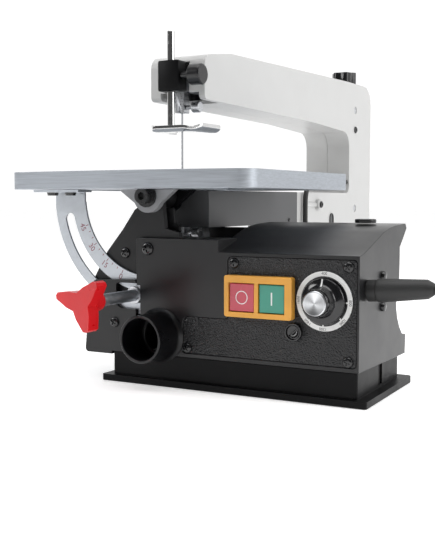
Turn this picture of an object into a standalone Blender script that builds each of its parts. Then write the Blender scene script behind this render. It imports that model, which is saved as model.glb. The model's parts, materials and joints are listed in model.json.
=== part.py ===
"""Scroll saw, 405 mm throat, with a parallel-arm drive, a tilting table and a moulded control housing.

Lengths below are in millimetres in the machine's own frame: X to the right, Y from the front of the base
to the back, Z up from the underside of the base. MM turns them into metres, and the machine empty moves
the whole saw so that its origin is at the bottom centre of its box.
"""

import math

import bmesh
import bpy
import numpy as np
from mathutils import Matrix, Vector

MM = 0.001
GAP = 0.3                        # running gap between pieces that touch

# Overall layout
BLADE_X = -91.0                  # plane of the blade, the arms and the tilt axis
BLADE_Y = 72.5
TILT_Z = 194.0

# Base
BASE_FRONT_HALF = 147.5
BASE_REAR = 578.0
BASE_SHOULDER = 150.0            # where the wide front ends
BASE_CORNERS = [3, 3, 5, 8, 8, 8, 4, 4]
SPINE_LEFT = -142.0
SPINE_RIGHT = -40.0
FLANGE_TOP = 6.7
BASE_TOP = 31.0

# Housing
FRONT_Y = 5.0
WALL = 3.5
HOUSING_LEFT = -106.0
HOUSING_STEP = -17.0
HOUSING_RIGHT = 138.0
HOUSING_BOTTOM = 31.4
LEFT_TOP = 151.0
LEFT_DEPTH = 58.0
REAR_WALL = (104.5, 108.0)       # behind the crank, up to just below the arm cover
REAR_WALL_TOP = 160.5
SHOULDER_FRONT_Z = 139.0

# Table
TABLE_LEFT = -238.0
TABLE_RIGHT = 49.0
TABLE_FRONT = -42.0
TABLE_REAR = 212.0
TABLE_BULGE = 7.0
TABLE_CORNER = 20.0
TABLE_BOTTOM = 201.0
TABLE_TOP = 219.0

# Bevel scale
QUADRANT_INNER = 83.0
QUADRANT_OUTER = 123.0
SLOT_RADIUS = 106.0
SLOT_HALF_WIDTH = 6.0
QUADRANT_FRONT = 8.9
QUADRANT_BACK = 11.3
CLAMP_X = -111.0
CLAMP_Z = 91.0
KNOB_FRONT = -85.0
KNOB_THICKNESS = 16.0
KNOB_LENGTH = 30.0                # lobes and hub together

TRUNNION = (11.8, 18.0)          # front and back of the bracket plate
TRUNNION_RIGHT = -58.0
COLLAR_BACK = 40.0
COLLAR_RADIUS = 13.0
PIVOT_BORE = 6.3

# C-frame and arms
FRAME_LEFT = -124.0
FRAME_RIGHT = -57.0
FRAME_WALL = 4.0
COLUMN_FRONT = 477.0
COLUMN_REAR = 563.0
FRAME_TOP = 358.0
LIMB_FRONT = 112.0
LIMB_TOP = 200.0
STEP_Y = 290.0
STEP_Z = 150.0
HOSE_Y = 312.0
HOSE_Z = 130.0
HOSE_DIAMETER = 6.4
PIVOT_Y = 500.0
LOWER_PIVOT_Z = 178.0
UPPER_PIVOT_Z = 320.0
ARM_LEFT = -96.5
ARM_RIGHT = -85.5
PIN_RADIUS = 5.0
ROD_RADIUS = 3.0
ROD_Y = 540.0
ROD_FOOT_Z = 190.8
TENSION_KNOB = (360.5, 380.0)

# Blade and hold-down
BLADE_LOW = 156.0
BLADE_HIGH = 289.0
BLADE_HALF_WIDTH = 1.4
BLADE_HALF_THICKNESS = 0.3
CLAMP_FRONT = 66.0
CLAMP_REAR = 79.0
HOLD_Y = 50.0
FOOT_Z = (262.0, 266.2)

# Drive
SHAFT_Y = 84.0
SHAFT_Z = 128.0
CRANK_THROW = 6.0
MOTOR_RADIUS = 28.5
MOTOR_X = 6.0
MOTOR_LENGTH = 95.0

# Controls
SWITCH = (2.0, 74.0, 77.0, 117.5)
DIAL_X = 103.8
DIAL_Z = 96.3
PANEL_FACE = 5.4
SEAT = PANEL_FACE - GAP          # what is fixed to the panel stands on this plane
BUTTON_SIZE = 27.2

# Mains cord
CORD_DIAMETER = 7.5
BOOT_ROOT = (138.3, 26.0, 106.0)
BOOT_LENGTH = 64.0
BOOT_RISE = math.radians(4)
BOOT_TIP_RADIUS = 4.4
FLOOR = 0.0
COIL_CENTRE = (292.0, 86.9)
COIL_MID_RADIUS = 45.0
COIL_COLUMNS = 3
COIL_LAYERS = 2
COIL_SLACK = 0.3
TAIL_LENGTH = 78.0
CORD_BEND = 32.0
BEND_AFTER = 12.0                # from the boot's tip to where the lead starts to bend
PLUG_HALF_HEIGHT = 12.0
PLUG_TURN = math.radians(-8)

# The saw's box, without its lead, runs from the table's left end to the boot's tip and from the red knob
# to the back of the base. The machine empty brings its bottom centre to the origin.
BOOT_REACH = BOOT_ROOT[0] + BOOT_LENGTH * math.cos(BOOT_RISE) + BOOT_TIP_RADIUS * math.sin(BOOT_RISE)
MACHINE_ORIGIN = (-(TABLE_LEFT + BOOT_REACH) / 2, -(KNOB_FRONT + BASE_REAR) / 2, 0.0)


# ---------------------------------------------------------------- scene and materials

def clear_scene():
    for old in list(bpy.data.objects):
        bpy.data.objects.remove(old, do_unlink=True)


def new_collection(name):
    made = bpy.data.collections.new(name)
    bpy.context.scene.collection.children.link(made)
    return made


clear_scene()
PARTS = new_collection("scroll_saw")
CUTTERS = new_collection("cutters")
MACHINE = bpy.data.objects.new("machine", None)
PARTS.objects.link(MACHINE)
MACHINE.location = Vector(MACHINE_ORIGIN) * MM

COLOURS = {
    "black_casting": ((0.03, 0.03, 0.032), 0.55, 0.0),
    "black_plastic": ((0.022, 0.022, 0.024), 0.5, 0.0),
    "panel_plastic": ((0.018, 0.018, 0.019), 0.6, 0.0),
    "rubber": ((0.02, 0.02, 0.02), 0.8, 0.0),
    "table_aluminium": ((0.56, 0.58, 0.61), 0.35, 1.0),
    "white_paint": ((0.78, 0.79, 0.79), 0.4, 0.0),
    "cast_aluminium": ((0.5, 0.51, 0.53), 0.5, 1.0),
    "zinc": ((0.58, 0.6, 0.64), 0.35, 1.0),
    "steel": ((0.55, 0.56, 0.58), 0.3, 1.0),
    "chrome": ((0.8, 0.8, 0.82), 0.1, 1.0),
    "black_screw": ((0.015, 0.015, 0.016), 0.4, 0.6),
    "red_plastic": ((0.72, 0.02, 0.025), 0.4, 0.0),
    "stop_red": ((0.6, 0.09, 0.12), 0.4, 0.0),
    "start_green": ((0.05, 0.32, 0.24), 0.4, 0.0),
    "switch_yellow": ((0.83, 0.47, 0.09), 0.45, 0.0),
    "dial_white": ((0.8, 0.8, 0.8), 0.5, 0.0),
    "circuit_green": ((0.03, 0.2, 0.08), 0.5, 0.0),
}


def material_for(node, slot):
    colour, roughness, metallic = COLOURS[slot]
    made = bpy.data.materials.new(node + "_" + slot)
    made.use_nodes = True
    shader = made.node_tree.nodes["Principled BSDF"]
    shader.inputs["Base Color"].default_value = (*colour, 1.0)
    shader.inputs["Roughness"].default_value = roughness
    shader.inputs["Metallic"].default_value = metallic
    return made


# ---------------------------------------------------------------- shapes, in machine millimetres

def put(mesh, name, slot=None, pivot=(0, 0, 0)):
    """Makes an object from a mesh in machine millimetres. A slot makes it a part, and no slot a cutter."""
    mesh.transform(Matrix.Translation(-Vector(pivot)))
    mesh.transform(Matrix.Scale(MM, 4))
    made = bpy.data.objects.new(name, mesh)
    made.parent = MACHINE
    made.location = Vector(pivot) * MM
    if slot is None:
        CUTTERS.objects.link(made)
        made.hide_render = True
        made.display_type = "WIRE"
        return made
    PARTS.objects.link(made)
    mesh.materials.append(material_for(name, slot))
    mesh.shade_smooth()
    mesh.set_sharp_from_angle(angle=math.radians(35))
    return made


def mesh_from(builder, name):
    work = bmesh.new()
    builder(work)
    mesh = bpy.data.meshes.new(name)
    work.to_mesh(mesh)
    work.free()
    return mesh


def box_mesh(name, low, high):
    size = Vector(high) - Vector(low)
    middle = (Vector(high) + Vector(low)) / 2
    place = Matrix.Translation(middle) @ Matrix.Diagonal((*size, 1.0))
    return mesh_from(lambda work: bmesh.ops.create_cube(work, size=1.0, matrix=place), name)


TURNS = {
    "X": Matrix.Rotation(math.radians(90), 4, "Y"),
    "Y": Matrix.Rotation(math.radians(-90), 4, "X"),
    "Z": Matrix.Identity(4),
}


def rod_mesh(name, start, axis, length, radius, end_radius=None, sides=24):
    """A cylinder or cone from start along +axis."""
    end_radius = radius if end_radius is None else end_radius
    place = Matrix.Translation(start) @ TURNS[axis] @ Matrix.Translation((0, 0, length / 2))
    return mesh_from(lambda work: bmesh.ops.create_cone(
        work, cap_ends=True, segments=sides, radius1=radius, radius2=end_radius, depth=length,
        matrix=place), name)


# Where a flat outline's own x, y and thickness point: across the front, along the side, or flat.
FACINGS = {
    "front": Matrix(((1, 0, 0, 0), (0, 0, -1, 0), (0, 1, 0, 0), (0, 0, 0, 1))),
    "side": Matrix(((0, 0, 1, 0), (1, 0, 0, 0), (0, 1, 0, 0), (0, 0, 0, 1))),
    "flat": Matrix.Identity(4),
}
THICK_AXIS = {"front": 1, "side": 0, "flat": 2}


def plate_mesh(name, outlines, facing, low, high):
    """A flat outline, with any holes, made thick from low to high along the axis it faces."""
    curve = bpy.data.curves.new(name, "CURVE")
    curve.dimensions = "2D"
    curve.fill_mode = "BOTH"
    curve.extrude = (high - low) / 2
    for outline in outlines:
        spline = curve.splines.new("POLY")
        spline.points.add(len(outline) - 1)
        for point, (a, b) in zip(spline.points, outline):
            point.co = (a, b, 0, 1)
        spline.use_cyclic_u = True
    guide = bpy.data.objects.new(name + "_guide", curve)
    bpy.context.scene.collection.objects.link(guide)
    graph = bpy.context.evaluated_depsgraph_get()
    mesh = bpy.data.meshes.new_from_object(guide.evaluated_get(graph))
    bpy.data.objects.remove(guide, do_unlink=True)
    work = bmesh.new()
    work.from_mesh(mesh)
    bmesh.ops.remove_doubles(work, verts=work.verts, dist=0.001)
    bmesh.ops.recalc_face_normals(work, faces=work.faces)
    work.to_mesh(mesh)
    work.free()
    shift = Vector((0, 0, 0))
    shift[THICK_AXIS[facing]] = (high + low) / 2
    mesh.transform(Matrix.Translation(shift) @ FACINGS[facing])
    return mesh


def arc(centre, radius, start, end, steps):
    """Points along an arc, angles in degrees from the outline's own x axis."""
    angles = np.radians(np.linspace(start, end, steps + 1))
    return [(centre[0] + radius * math.cos(a), centre[1] + radius * math.sin(a)) for a in angles]


def circle(centre, radius, sides=24):
    return arc(centre, radius, 0, 360 * (sides - 1) / sides, sides - 1)


def rectangle(x0, x1, y0, y1):
    return [(x0, y0), (x1, y0), (x1, y1), (x0, y1)]


def rounded(points, radii, steps=4):
    """The outline with each corner turned into an arc. radii is one number, or one for each corner."""
    if not isinstance(radii, (list, tuple)):
        radii = [radii] * len(points)
    out = []
    count = len(points)
    for i, radius in enumerate(radii):
        here = Vector(points[i])
        if radius <= 0:
            out.append(tuple(here))
            continue
        before = (Vector(points[i - 1]) - here).normalized()
        after = (Vector(points[(i + 1) % count]) - here).normalized()
        half = before.angle(after) / 2
        reach = radius / math.tan(half)
        first = here + before * reach
        last = here + after * reach
        centre = here + (before + after).normalized() * radius / math.sin(half)
        a0 = math.atan2(*reversed(first - centre))
        turn = math.atan2(*reversed(last - centre)) - a0
        turn = (turn + math.pi) % (2 * math.pi) - math.pi
        for k in range(steps + 1):
            a = a0 + turn * k / steps
            out.append((centre.x + radius * math.cos(a), centre.y + radius * math.sin(a)))
    return out


def inset(points, distance):
    """The outline moved inwards by distance. The outline runs counter-clockwise."""
    out = []
    count = len(points)
    for i in range(count):
        here = Vector(points[i])
        before = (here - Vector(points[i - 1])).normalized()
        after = (Vector(points[(i + 1) % count]) - here).normalized()
        inward = (Vector((-before.y, before.x)) + Vector((-after.y, after.x))).normalized()
        lean = max(0.35, inward.dot(Vector((-before.y, before.x))))
        out.append(tuple(here + inward * distance / lean))
    return out


def turned(name, slot, profile, steps=32, pivot=(0, 0, 0), turn=None):
    """A turned piece about local Z. The profile runs down its outer side, in millimetres."""
    work = bmesh.new()
    verts = [work.verts.new((r * MM, 0, z * MM)) for r, z in profile]
    for first, second in zip(verts, verts[1:]):
        work.edges.new((first, second))
    mesh = bpy.data.meshes.new(name)
    work.to_mesh(mesh)
    work.free()
    made = bpy.data.objects.new(name, mesh)
    PARTS.objects.link(made)
    made.parent = MACHINE
    made.location = Vector(pivot) * MM
    if turn is not None:
        made.rotation_euler = turn.to_euler()
    mesh.materials.append(material_for(name, slot))
    spin = made.modifiers.new("spin", "SCREW")
    spin.steps = steps
    spin.render_steps = steps
    spin.use_merge_vertices = True
    spin.merge_threshold = 0.00001
    spin.use_smooth_shade = True
    return made


def tube(name, slot, points, diameter, resolution=2):
    """A round tube along points, in machine millimetres."""
    curve = bpy.data.curves.new(name, "CURVE")
    curve.dimensions = "3D"
    curve.bevel_depth = diameter / 2 * MM
    curve.bevel_resolution = resolution
    curve.use_fill_caps = True
    spline = curve.splines.new("POLY")
    spline.points.add(len(points) - 1)
    for point, place in zip(spline.points, points):
        point.co = (*(Vector(place) * MM), 1)
    made = bpy.data.objects.new(name, curve)
    PARTS.objects.link(made)
    made.parent = MACHINE
    curve.materials.append(material_for(name, slot))
    return made


def smooth_route(points, spacing):
    """Points about spacing apart on a smooth curve through the given ones."""
    given = [Vector(p) for p in points]
    ends = [given[0] * 2 - given[1], *given, given[-1] * 2 - given[-2]]
    fine = []
    for before, start, end, after in zip(ends, ends[1:], ends[2:], ends[3:]):
        for k in range(24):
            t = k / 24
            fine.append(0.5 * (2 * start + (end - before) * t
                               + (2 * before - 5 * start + 4 * end - after) * t ** 2
                               + (3 * start - before - 3 * end + after) * t ** 3))
    fine.append(given[-1])
    reach = np.concatenate([[0], np.cumsum([(b - a).length for a, b in zip(fine, fine[1:])])])
    count = max(2, round(reach[-1] / spacing) + 1)
    wanted = np.linspace(0, reach[-1], count)
    columns = [np.interp(wanted, reach, [p[axis] for p in fine]) for axis in range(3)]
    return [tuple(float(v) for v in row) for row in zip(*columns)]


def boolean(target, other, operation):
    change = target.modifiers.new(operation.lower(), "BOOLEAN")
    change.operation = operation
    change.solver = "EXACT"
    change.object = other


def cut(target, mesh):
    boolean(target, put(mesh, mesh.name), "DIFFERENCE")


def add(target, mesh):
    boolean(target, put(mesh, mesh.name), "UNION")


def bevel(target, width, segments=2, angle=40):
    change = target.modifiers.new("bevel", "BEVEL")
    change.width = width * MM
    change.segments = segments
    change.limit_method = "ANGLE"
    change.angle_limit = math.radians(angle)
    change.harden_normals = False


# ---------------------------------------------------------------- base

def base_corners(inwards, spine_inwards):
    """Corners of the base, which is wide at the front and runs back as a spine below the column."""
    side = BASE_FRONT_HALF - inwards
    left = SPINE_LEFT + spine_inwards
    right = SPINE_RIGHT - spine_inwards
    shoulder = BASE_SHOULDER - inwards
    rear = BASE_REAR - inwards
    return [(-side, inwards / 2), (side, inwards / 2), (side - 5, shoulder), (right, shoulder), (right, rear),
            (left, rear), (left, shoulder + 20), (-side, shoulder)]


def make_base():
    flange = rounded(base_corners(0, 0), BASE_CORNERS)
    base = put(plate_mesh("base", [flange], "flat", 0, FLANGE_TOP), "base", "black_casting")
    body = rounded(base_corners(11, 5), BASE_CORNERS)
    add(base, plate_mesh("base_body", [body], "flat", 3, BASE_TOP))
    cut(base, plate_mesh("base_hollow", [base_corners(16, 10)], "flat", -1, BASE_TOP - 4))
    cut(base, box_mesh("base_notch", (132, 69, 9), (150, 82, 31)))


# ---------------------------------------------------------------- housing and what is on its front

def housing_side():
    """Side profile of the right part: shoulder on top, and a waisted back."""
    return [
        (FRONT_Y, HOUSING_BOTTOM), (140, HOUSING_BOTTOM), (141, 51.4), (130, 53), (121, 61), (114, 71),
        (110.5, 81), (110, 91), (114, 101), (118.5, 112), (119, 130), (119, 142.5), (129, 151),
        (140, 161), (136, 166), (105, 164.5), (88, 162.6), (70, 158.8), (52, 152.5),
        (30, 145.2), (14, 140.4), (FRONT_Y, SHOULDER_FRONT_Z)]


def panel_outline(grow):
    """The L-shaped control panel."""
    return rounded([
        (-50 - grow, 36 - grow), (135.5 + grow, 36 - grow), (135.5 + grow, 135 + grow),
        (2 - grow, 135 + grow), (2 - grow, 73 + grow), (-50 - grow, 73 + grow)],
        [3, 3, 3, 5, 3, 8])


def make_housing():
    side = housing_side()
    housing = put(plate_mesh("housing", [side], "side", HOUSING_STEP, HOUSING_RIGHT), "housing",
                  "black_plastic")
    add(housing, box_mesh("housing_left", (HOUSING_LEFT, FRONT_Y, HOUSING_BOTTOM),
                          (HOUSING_STEP + 8, LEFT_DEPTH, LEFT_TOP)))
    add(housing, box_mesh("housing_rear_wall", (HOUSING_LEFT, REAR_WALL[0], HOUSING_BOTTOM),
                          (HOUSING_STEP + WALL / 2, REAR_WALL[1], REAR_WALL_TOP)))
    hollow = [(y, z - 12 if z < 40 else z) for y, z in inset(side, WALL)]
    cut(housing, plate_mesh("housing_hollow", [hollow], "side", HOUSING_STEP + WALL, HOUSING_RIGHT - WALL))
    inner = (HOUSING_LEFT + WALL, FRONT_Y + WALL)
    cut(housing, box_mesh("housing_left_hollow", (*inner, 20),
                          (HOUSING_STEP + WALL + 6, LEFT_DEPTH - WALL, SHOULDER_FRONT_Z - 4)))
    cut(housing, box_mesh("housing_left_top", (*inner, 120),
                          (HOUSING_STEP - 2, LEFT_DEPTH - WALL, LEFT_TOP - 3)))
    plate_front, plate_back = TRUNNION[0] - 2 * GAP, TRUNNION[1] + 2 * GAP
    cut(housing, box_mesh("clamp_notch", (HOUSING_LEFT - 5, 0, 20), (HOUSING_LEFT + 4.5, plate_back, 102)))
    cut(housing, box_mesh("bracket_side_way", (HOUSING_LEFT - 5, FRONT_Y + WALL, 20),
                          (HOUSING_LEFT + WALL + 1, plate_back, LEFT_TOP + 3)))
    cut(housing, box_mesh("bracket_way", (HOUSING_LEFT - 5, plate_front, LEFT_TOP - 11),
                          (TRUNNION_RIGHT + 2, plate_back, LEFT_TOP + 3)))
    cut(housing, plate_mesh("panel_pocket", [panel_outline(0.4)], "front", -2, PANEL_FACE + 1.2))
    cut(housing, rod_mesh("shaft_hole", (HOUSING_STEP - 10, SHAFT_Y, SHAFT_Z), "X", 20, 10))
    cut(housing, rod_mesh("port_hole", (-77, FRONT_Y - 5, 52), "Y", 20, 19))
    for z in (86.2, 115.4):
        cut(housing, rod_mesh(f"side_hole_{z:.0f}", (HOUSING_RIGHT - 10, 72.4, z), "X", 20, 3.4, sides=16))


def make_panel():
    put(plate_mesh("control_panel", [panel_outline(0)], "front", PANEL_FACE, PANEL_FACE + 0.9),
        "control_panel", "panel_plastic")


def screw(name, place, radius, height):
    """A pan head with a cross recess, facing the front, with its seat at place."""
    x, y, z = place
    head = put(rod_mesh(name, (x, y - height, z), "Y", height, radius * 0.78, radius, sides=16), name,
               "black_screw", pivot=place)
    for across, up in ((radius * 0.55, radius * 0.14), (radius * 0.14, radius * 0.55)):
        cut(head, box_mesh(name + "_recess", (x - across, y - height - 1, z - up),
                           (x + across, y - height + 0.9, z + up)))


def make_screws():
    for i, (x, z) in enumerate(((8.8, 128.6), (127.4, 128.6), (127.4, 41), (-44.6, 41))):
        screw(f"panel_screw_{i + 1}", (x, SEAT, z), 4.0, 2.0)
    screw("housing_screw", (-91.8, FRONT_Y - GAP, 140.2), 6.8, 2.6)


def make_switch():
    x0, x1, z0, z1 = SWITCH
    front = SEAT - 8
    windows = [rectangle(6.8, 34.6, 82, 110.4), rectangle(38.8, 66.6, 82, 110.4)]
    frame = put(plate_mesh("switch_frame", [rounded(rectangle(x0, x1, z0, z1), 2.5), *windows], "front",
                           front, SEAT), "switch_frame", "switch_yellow")
    bevel(frame, 0.8, 2)
    for name, slot, left in (("stop_button", "stop_red", 6.8), ("start_button", "start_green", 38.8)):
        low = (left + 0.6, front + 1.2, 82.6)
        high = (left + BUTTON_SIZE, front + 5.2, 82.6 + BUTTON_SIZE)
        button = put(box_mesh(name, low, high), name, slot,
                     pivot=((low[0] + high[0]) / 2, front + 1.2, 96.2))
        bevel(button, 0.9, 2)


def make_dial():
    face = SEAT - 0.8
    scale = plate_mesh("dial_scale", [circle((DIAL_X, DIAL_Z), 28, 40), circle((DIAL_X, DIAL_Z), 6, 16)],
                       "front", face, SEAT)
    put(scale, "dial_scale", "dial_white")
    skirt = face - GAP
    to_front = Matrix.Rotation(math.radians(90), 4, "X")
    turned("speed_knob", "black_plastic",
           [(0, 22), (12.2, 22), (12.6, 21.4), (14, 8), (17, 5.5), (21, 4.4), (21.6, 3.4), (21.6, 0), (0, 0)],
           40, (DIAL_X, skirt, DIAL_Z), to_front)
    turned("knob_cap", "steel", [(0, 0.9), (10.8, 0.9), (11.5, 0.4), (11.5, 0), (0, 0)],
           32, (DIAL_X, skirt - 22 - GAP, DIAL_Z), to_front)


def make_fuse_cap():
    place = (73.7, SEAT, 65.5)
    cap = put(rod_mesh("fuse_cap", (place[0], place[1] - 4.2, place[2]), "Y", 4.2, 7.6, 8.6, sides=28),
              "fuse_cap", "black_plastic", pivot=place)
    slot = box_mesh("fuse_slot", (-5.6, -6, -0.7), (5.6, -3.2, 0.7))
    slot.transform(Matrix.Translation(place) @ Matrix.Rotation(math.radians(-42), 4, "Y"))
    cut(cap, slot)


def make_dust_port():
    face = FRONT_Y - GAP
    tube_out = [(24, 37.5), (24, 6), (26.5, 2.2), (28, 0), (21.2, 0), (21.2, 37.5), (24, 37.5)]
    turned("dust_port", "black_plastic", tube_out, 40, (-77, face, 52),
           Matrix.Rotation(math.radians(90), 4, "X"))


def make_housing_cap():
    turned("housing_cap", "black_plastic", [(0, 4), (10.2, 4), (11, 3.2), (11, 0), (0, 0)], 28,
           (101.5, 118, 166.6))


# ---------------------------------------------------------------- inside the housing

def make_motor():
    radius = MOTOR_RADIUS
    end = MOTOR_LENGTH
    can = [(0, end), (10, end), (10.5, end - 3), (radius - 1.5, end - 3), (radius, end - 5), (radius, 6),
           (radius - 1.5, 4), (12, 4), (12, 0), (0, 0)]
    motor = turned("motor", "steel", can, 36, (MOTOR_X, SHAFT_Y, SHAFT_Z), TURNS["X"])
    add(motor, box_mesh("motor_foot", (11, 64, HOUSING_BOTTOM), (14, 104, SHAFT_Z)))


def make_rotor():
    axis = (SHAFT_Y, SHAFT_Z)
    rotor = put(rod_mesh("crank_shaft", (-61.5, *axis), "X", 67, 5, sides=20), "crank_shaft", "steel",
                pivot=(-61.5, *axis))
    add(rotor, rod_mesh("crank_disc", (-68, *axis), "X", 8, 15, sides=32))
    add(rotor, rod_mesh("crank_pin", (-70.5, SHAFT_Y + CRANK_THROW, SHAFT_Z), "X", 4, 4, sides=20))


def make_drive_link():
    foot = (SHAFT_Y + CRANK_THROW, SHAFT_Z)
    head = (SHAFT_Y + CRANK_THROW, LOWER_PIVOT_Z)
    outline = arc(foot, 9, 140, 400, 14) + arc(head, 7, -20, 200, 12)
    link = put(plate_mesh("drive_link", [outline, circle(foot, 4 + GAP, 20)], "side", -78, -71),
               "drive_link", "cast_aluminium", pivot=(-74.5, *foot))
    add(link, rod_mesh("link_stub", (-84.6, *head), "X", 10, 3, sides=16))


def make_board():
    put(box_mesh("circuit_board", (18, 14, 34), (124, 100, 35.6)), "circuit_board", "circuit_green")


# ---------------------------------------------------------------- table support and bevel clamp

def make_trunnion():
    """The black bracket that carries the tilt axis, behind the bevel scale."""
    axis = (BLADE_X, TILT_Z)
    foot = [(-172, 28), (-137, 28), (-137, BASE_TOP + GAP), (-105, BASE_TOP + GAP)]
    right = [(-105, 74), (-84, 96), (TRUNNION_RIGHT, 104), (TRUNNION_RIGHT, 157), (-75, 161), (-78, 188)]
    left = [(-112, 180), (-127.3, 159.2), (-147, 136.2), (-163.7, 108.8), (-170, 49)]
    outline = foot + right + arc(axis, COLLAR_RADIUS, -25, 215, 14) + left
    holes = [circle((CLAMP_X, CLAMP_Z), 4.4, 20), circle(axis, PIVOT_BORE, 24)]
    bracket = put(plate_mesh("trunnion_bracket", [outline, *holes], "front", *TRUNNION), "trunnion_bracket",
                  "black_casting")
    collar = [circle(axis, COLLAR_RADIUS, 24), circle(axis, PIVOT_BORE, 24)]
    add(bracket, plate_mesh("trunnion_collar", collar, "front", TRUNNION[0] + 3, COLLAR_BACK))


def make_clamp_plate():
    """Front cover of the bevel clamp, open to the right round the clamp's spacer."""
    outline = rounded([
        (-172, 28), (-137, 28), (-137, BASE_TOP + GAP), (-106.4, BASE_TOP + GAP), (-106.4, 77), (-124, 77),
        (-131, 80), (-131, 104), (-106.4, 104), (-106.4, 108), (-158, 106), (-167, 96), (-170, 49)],
        [4, 0, 0, 0, 2, 3, 3, 3, 0, 2, 4, 4, 0])
    plate = put(plate_mesh("clamp_plate", [outline], "front", 4, 8.3), "clamp_plate", "black_plastic")
    add(plate, plate_mesh("clamp_plate_rim", [rectangle(-171, -160, 29, 60)], "front", 7, 11.5))


def sector(inner, outer, start, end, steps):
    """Part of a ring about the tilt axis. Angles in degrees left of straight down."""
    axis = (BLADE_X, TILT_Z)
    return (arc(axis, outer, -90 - start, -90 - end, steps)
            + list(reversed(arc(axis, inner, -90 - start, -90 - end, steps))))


def curved_slot(start, end):
    """The slot that the clamp bolt runs in, with round ends. Angles in degrees left of straight down."""
    near, far = -90 - start, -90 - end
    ends = [arc((BLADE_X, TILT_Z), SLOT_RADIUS, angle, angle, 1)[0] for angle in (near, far)]
    rim = sector(SLOT_RADIUS - SLOT_HALF_WIDTH, SLOT_RADIUS + SLOT_HALF_WIDTH, start, end, 22)
    half = len(rim) // 2
    cap_far = arc(ends[1], SLOT_HALF_WIDTH, far, far - 180, 8)[1:-1]
    cap_near = arc(ends[0], SLOT_HALF_WIDTH, near + 180, near, 8)[1:-1]
    return rim[:half] + cap_far + rim[half:] + cap_near


def make_quadrant():
    flange_top = TABLE_BOTTOM - GAP
    plate = sector(QUADRANT_INNER, QUADRANT_OUTER, 2, 86, 28)
    quadrant = put(plate_mesh("scale_quadrant", [plate, curved_slot(8, 77)], "front", QUADRANT_FRONT,
                              QUADRANT_BACK), "scale_quadrant", "zinc", pivot=(BLADE_X, 0, TILT_Z))
    add(quadrant, box_mesh("quadrant_neck", (-213.5, QUADRANT_FRONT, 184), (-174.5, QUADRANT_BACK, 200)))
    add(quadrant, box_mesh("quadrant_flange", (-227, -12, 198.3), (-167, QUADRANT_BACK, flange_top)))
    for i, x in enumerate((-208, -184)):
        bolt = rod_mesh("bolt", (x, -3, 194.6), "Z", 3.4, 5.6, 6.4, sides=16)
        put(bolt, f"quadrant_screw_{i + 1}", "black_screw", pivot=(x, -3, 194.6))


def make_lugs():
    """The lugs that hang the table on the tilt axis, in front of and behind the bracket."""
    axis = (BLADE_X, TILT_Z)
    top = TABLE_BOTTOM - GAP
    outline = [(-58, top), (-126, top)] + arc(axis, 17, 205, 335, 14)
    for name, low, high in (("pivot_lug_front", 3.4, 11.2), ("pivot_lug_rear", 40.6, 48)):
        put(plate_mesh(name, [outline, circle(axis, PIVOT_BORE, 24)], "front", low, high), name,
            "cast_aluminium", pivot=(BLADE_X, 0, TILT_Z))
    bolt = put(rod_mesh("pivot_bolt", (BLADE_X, 0, TILT_Z), "Y", 56, 6, sides=24), "pivot_bolt",
               "black_screw", pivot=(BLADE_X, 0, TILT_Z))
    add(bolt, rod_mesh("pivot_washer", (BLADE_X, 0.6, TILT_Z), "Y", 2.4, 11.5, sides=32))
    add(bolt, rod_mesh("pivot_head", (BLADE_X, -8, TILT_Z), "Y", 9, 8, sides=28))
    cut(bolt, rod_mesh("pivot_socket", (BLADE_X, -9, TILT_Z), "Y", 6, 4.4, sides=6))


def star(lobes):
    """The red knob's outline: three lobes that narrow to their tips."""
    lobe = ((-60, 10.5), (-30, 16), (-7, 27.5), (0, 28.6), (7, 27.5), (30, 16))
    out = []
    for middle in lobes:
        for turn, radius in lobe:
            a = math.radians(middle + turn)
            out.append((CLAMP_X + radius * math.cos(a), CLAMP_Z + radius * math.sin(a)))
    return out


def make_clamp():
    """The red star knob, its bolt, and the spacer that presses on the bevel scale."""
    axis = (CLAMP_X, CLAMP_Z)
    pivot = (CLAMP_X, 0, CLAMP_Z)
    lobes_back = KNOB_FRONT + KNOB_THICKNESS
    knob_back = KNOB_FRONT + KNOB_LENGTH
    knob = put(plate_mesh("clamp_knob", [star((166, 286, 406))], "front", KNOB_FRONT, lobes_back),
               "clamp_knob", "red_plastic", pivot=pivot)
    add(knob, rod_mesh("knob_hub", (CLAMP_X, lobes_back - 2, CLAMP_Z), "Y", knob_back - lobes_back + 2, 12,
                       9.6, sides=28))
    cut(knob, rod_mesh("knob_bore", (CLAMP_X, KNOB_FRONT + 10, CLAMP_Z), "Y", KNOB_LENGTH, 4.3, sides=20))
    sleeve = [circle(axis, 6.1, 28), circle(axis, 4.3, 20)]
    put(plate_mesh("clamp_spacer", sleeve, "front", knob_back + GAP, 6.2), "clamp_spacer", "zinc",
        pivot=pivot)
    washer = [circle(axis, 9, 28), circle(axis, 4.3, 20)]
    put(plate_mesh("clamp_washer", washer, "front", 6.6, 8.5), "clamp_washer", "steel", pivot=pivot)
    tip = KNOB_FRONT + 10.5
    put(rod_mesh("clamp_bolt", (CLAMP_X, tip, CLAMP_Z), "Y", TRUNNION[1] + 11.5 - tip, 4, sides=20),
        "clamp_bolt", "steel", pivot=pivot)


# ---------------------------------------------------------------- table

def bowed(start, end, bulge, steps):
    """Points from start to end on a shallow arc that stands bulge proud to the right of the line."""
    a = Vector(start)
    b = Vector(end)
    side = Vector(((b - a).y, -(b - a).x)).normalized()
    return [tuple(a + (b - a) * t + side * bulge * 4 * t * (1 - t)) for t in np.linspace(0, 1, steps + 1)]


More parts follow.
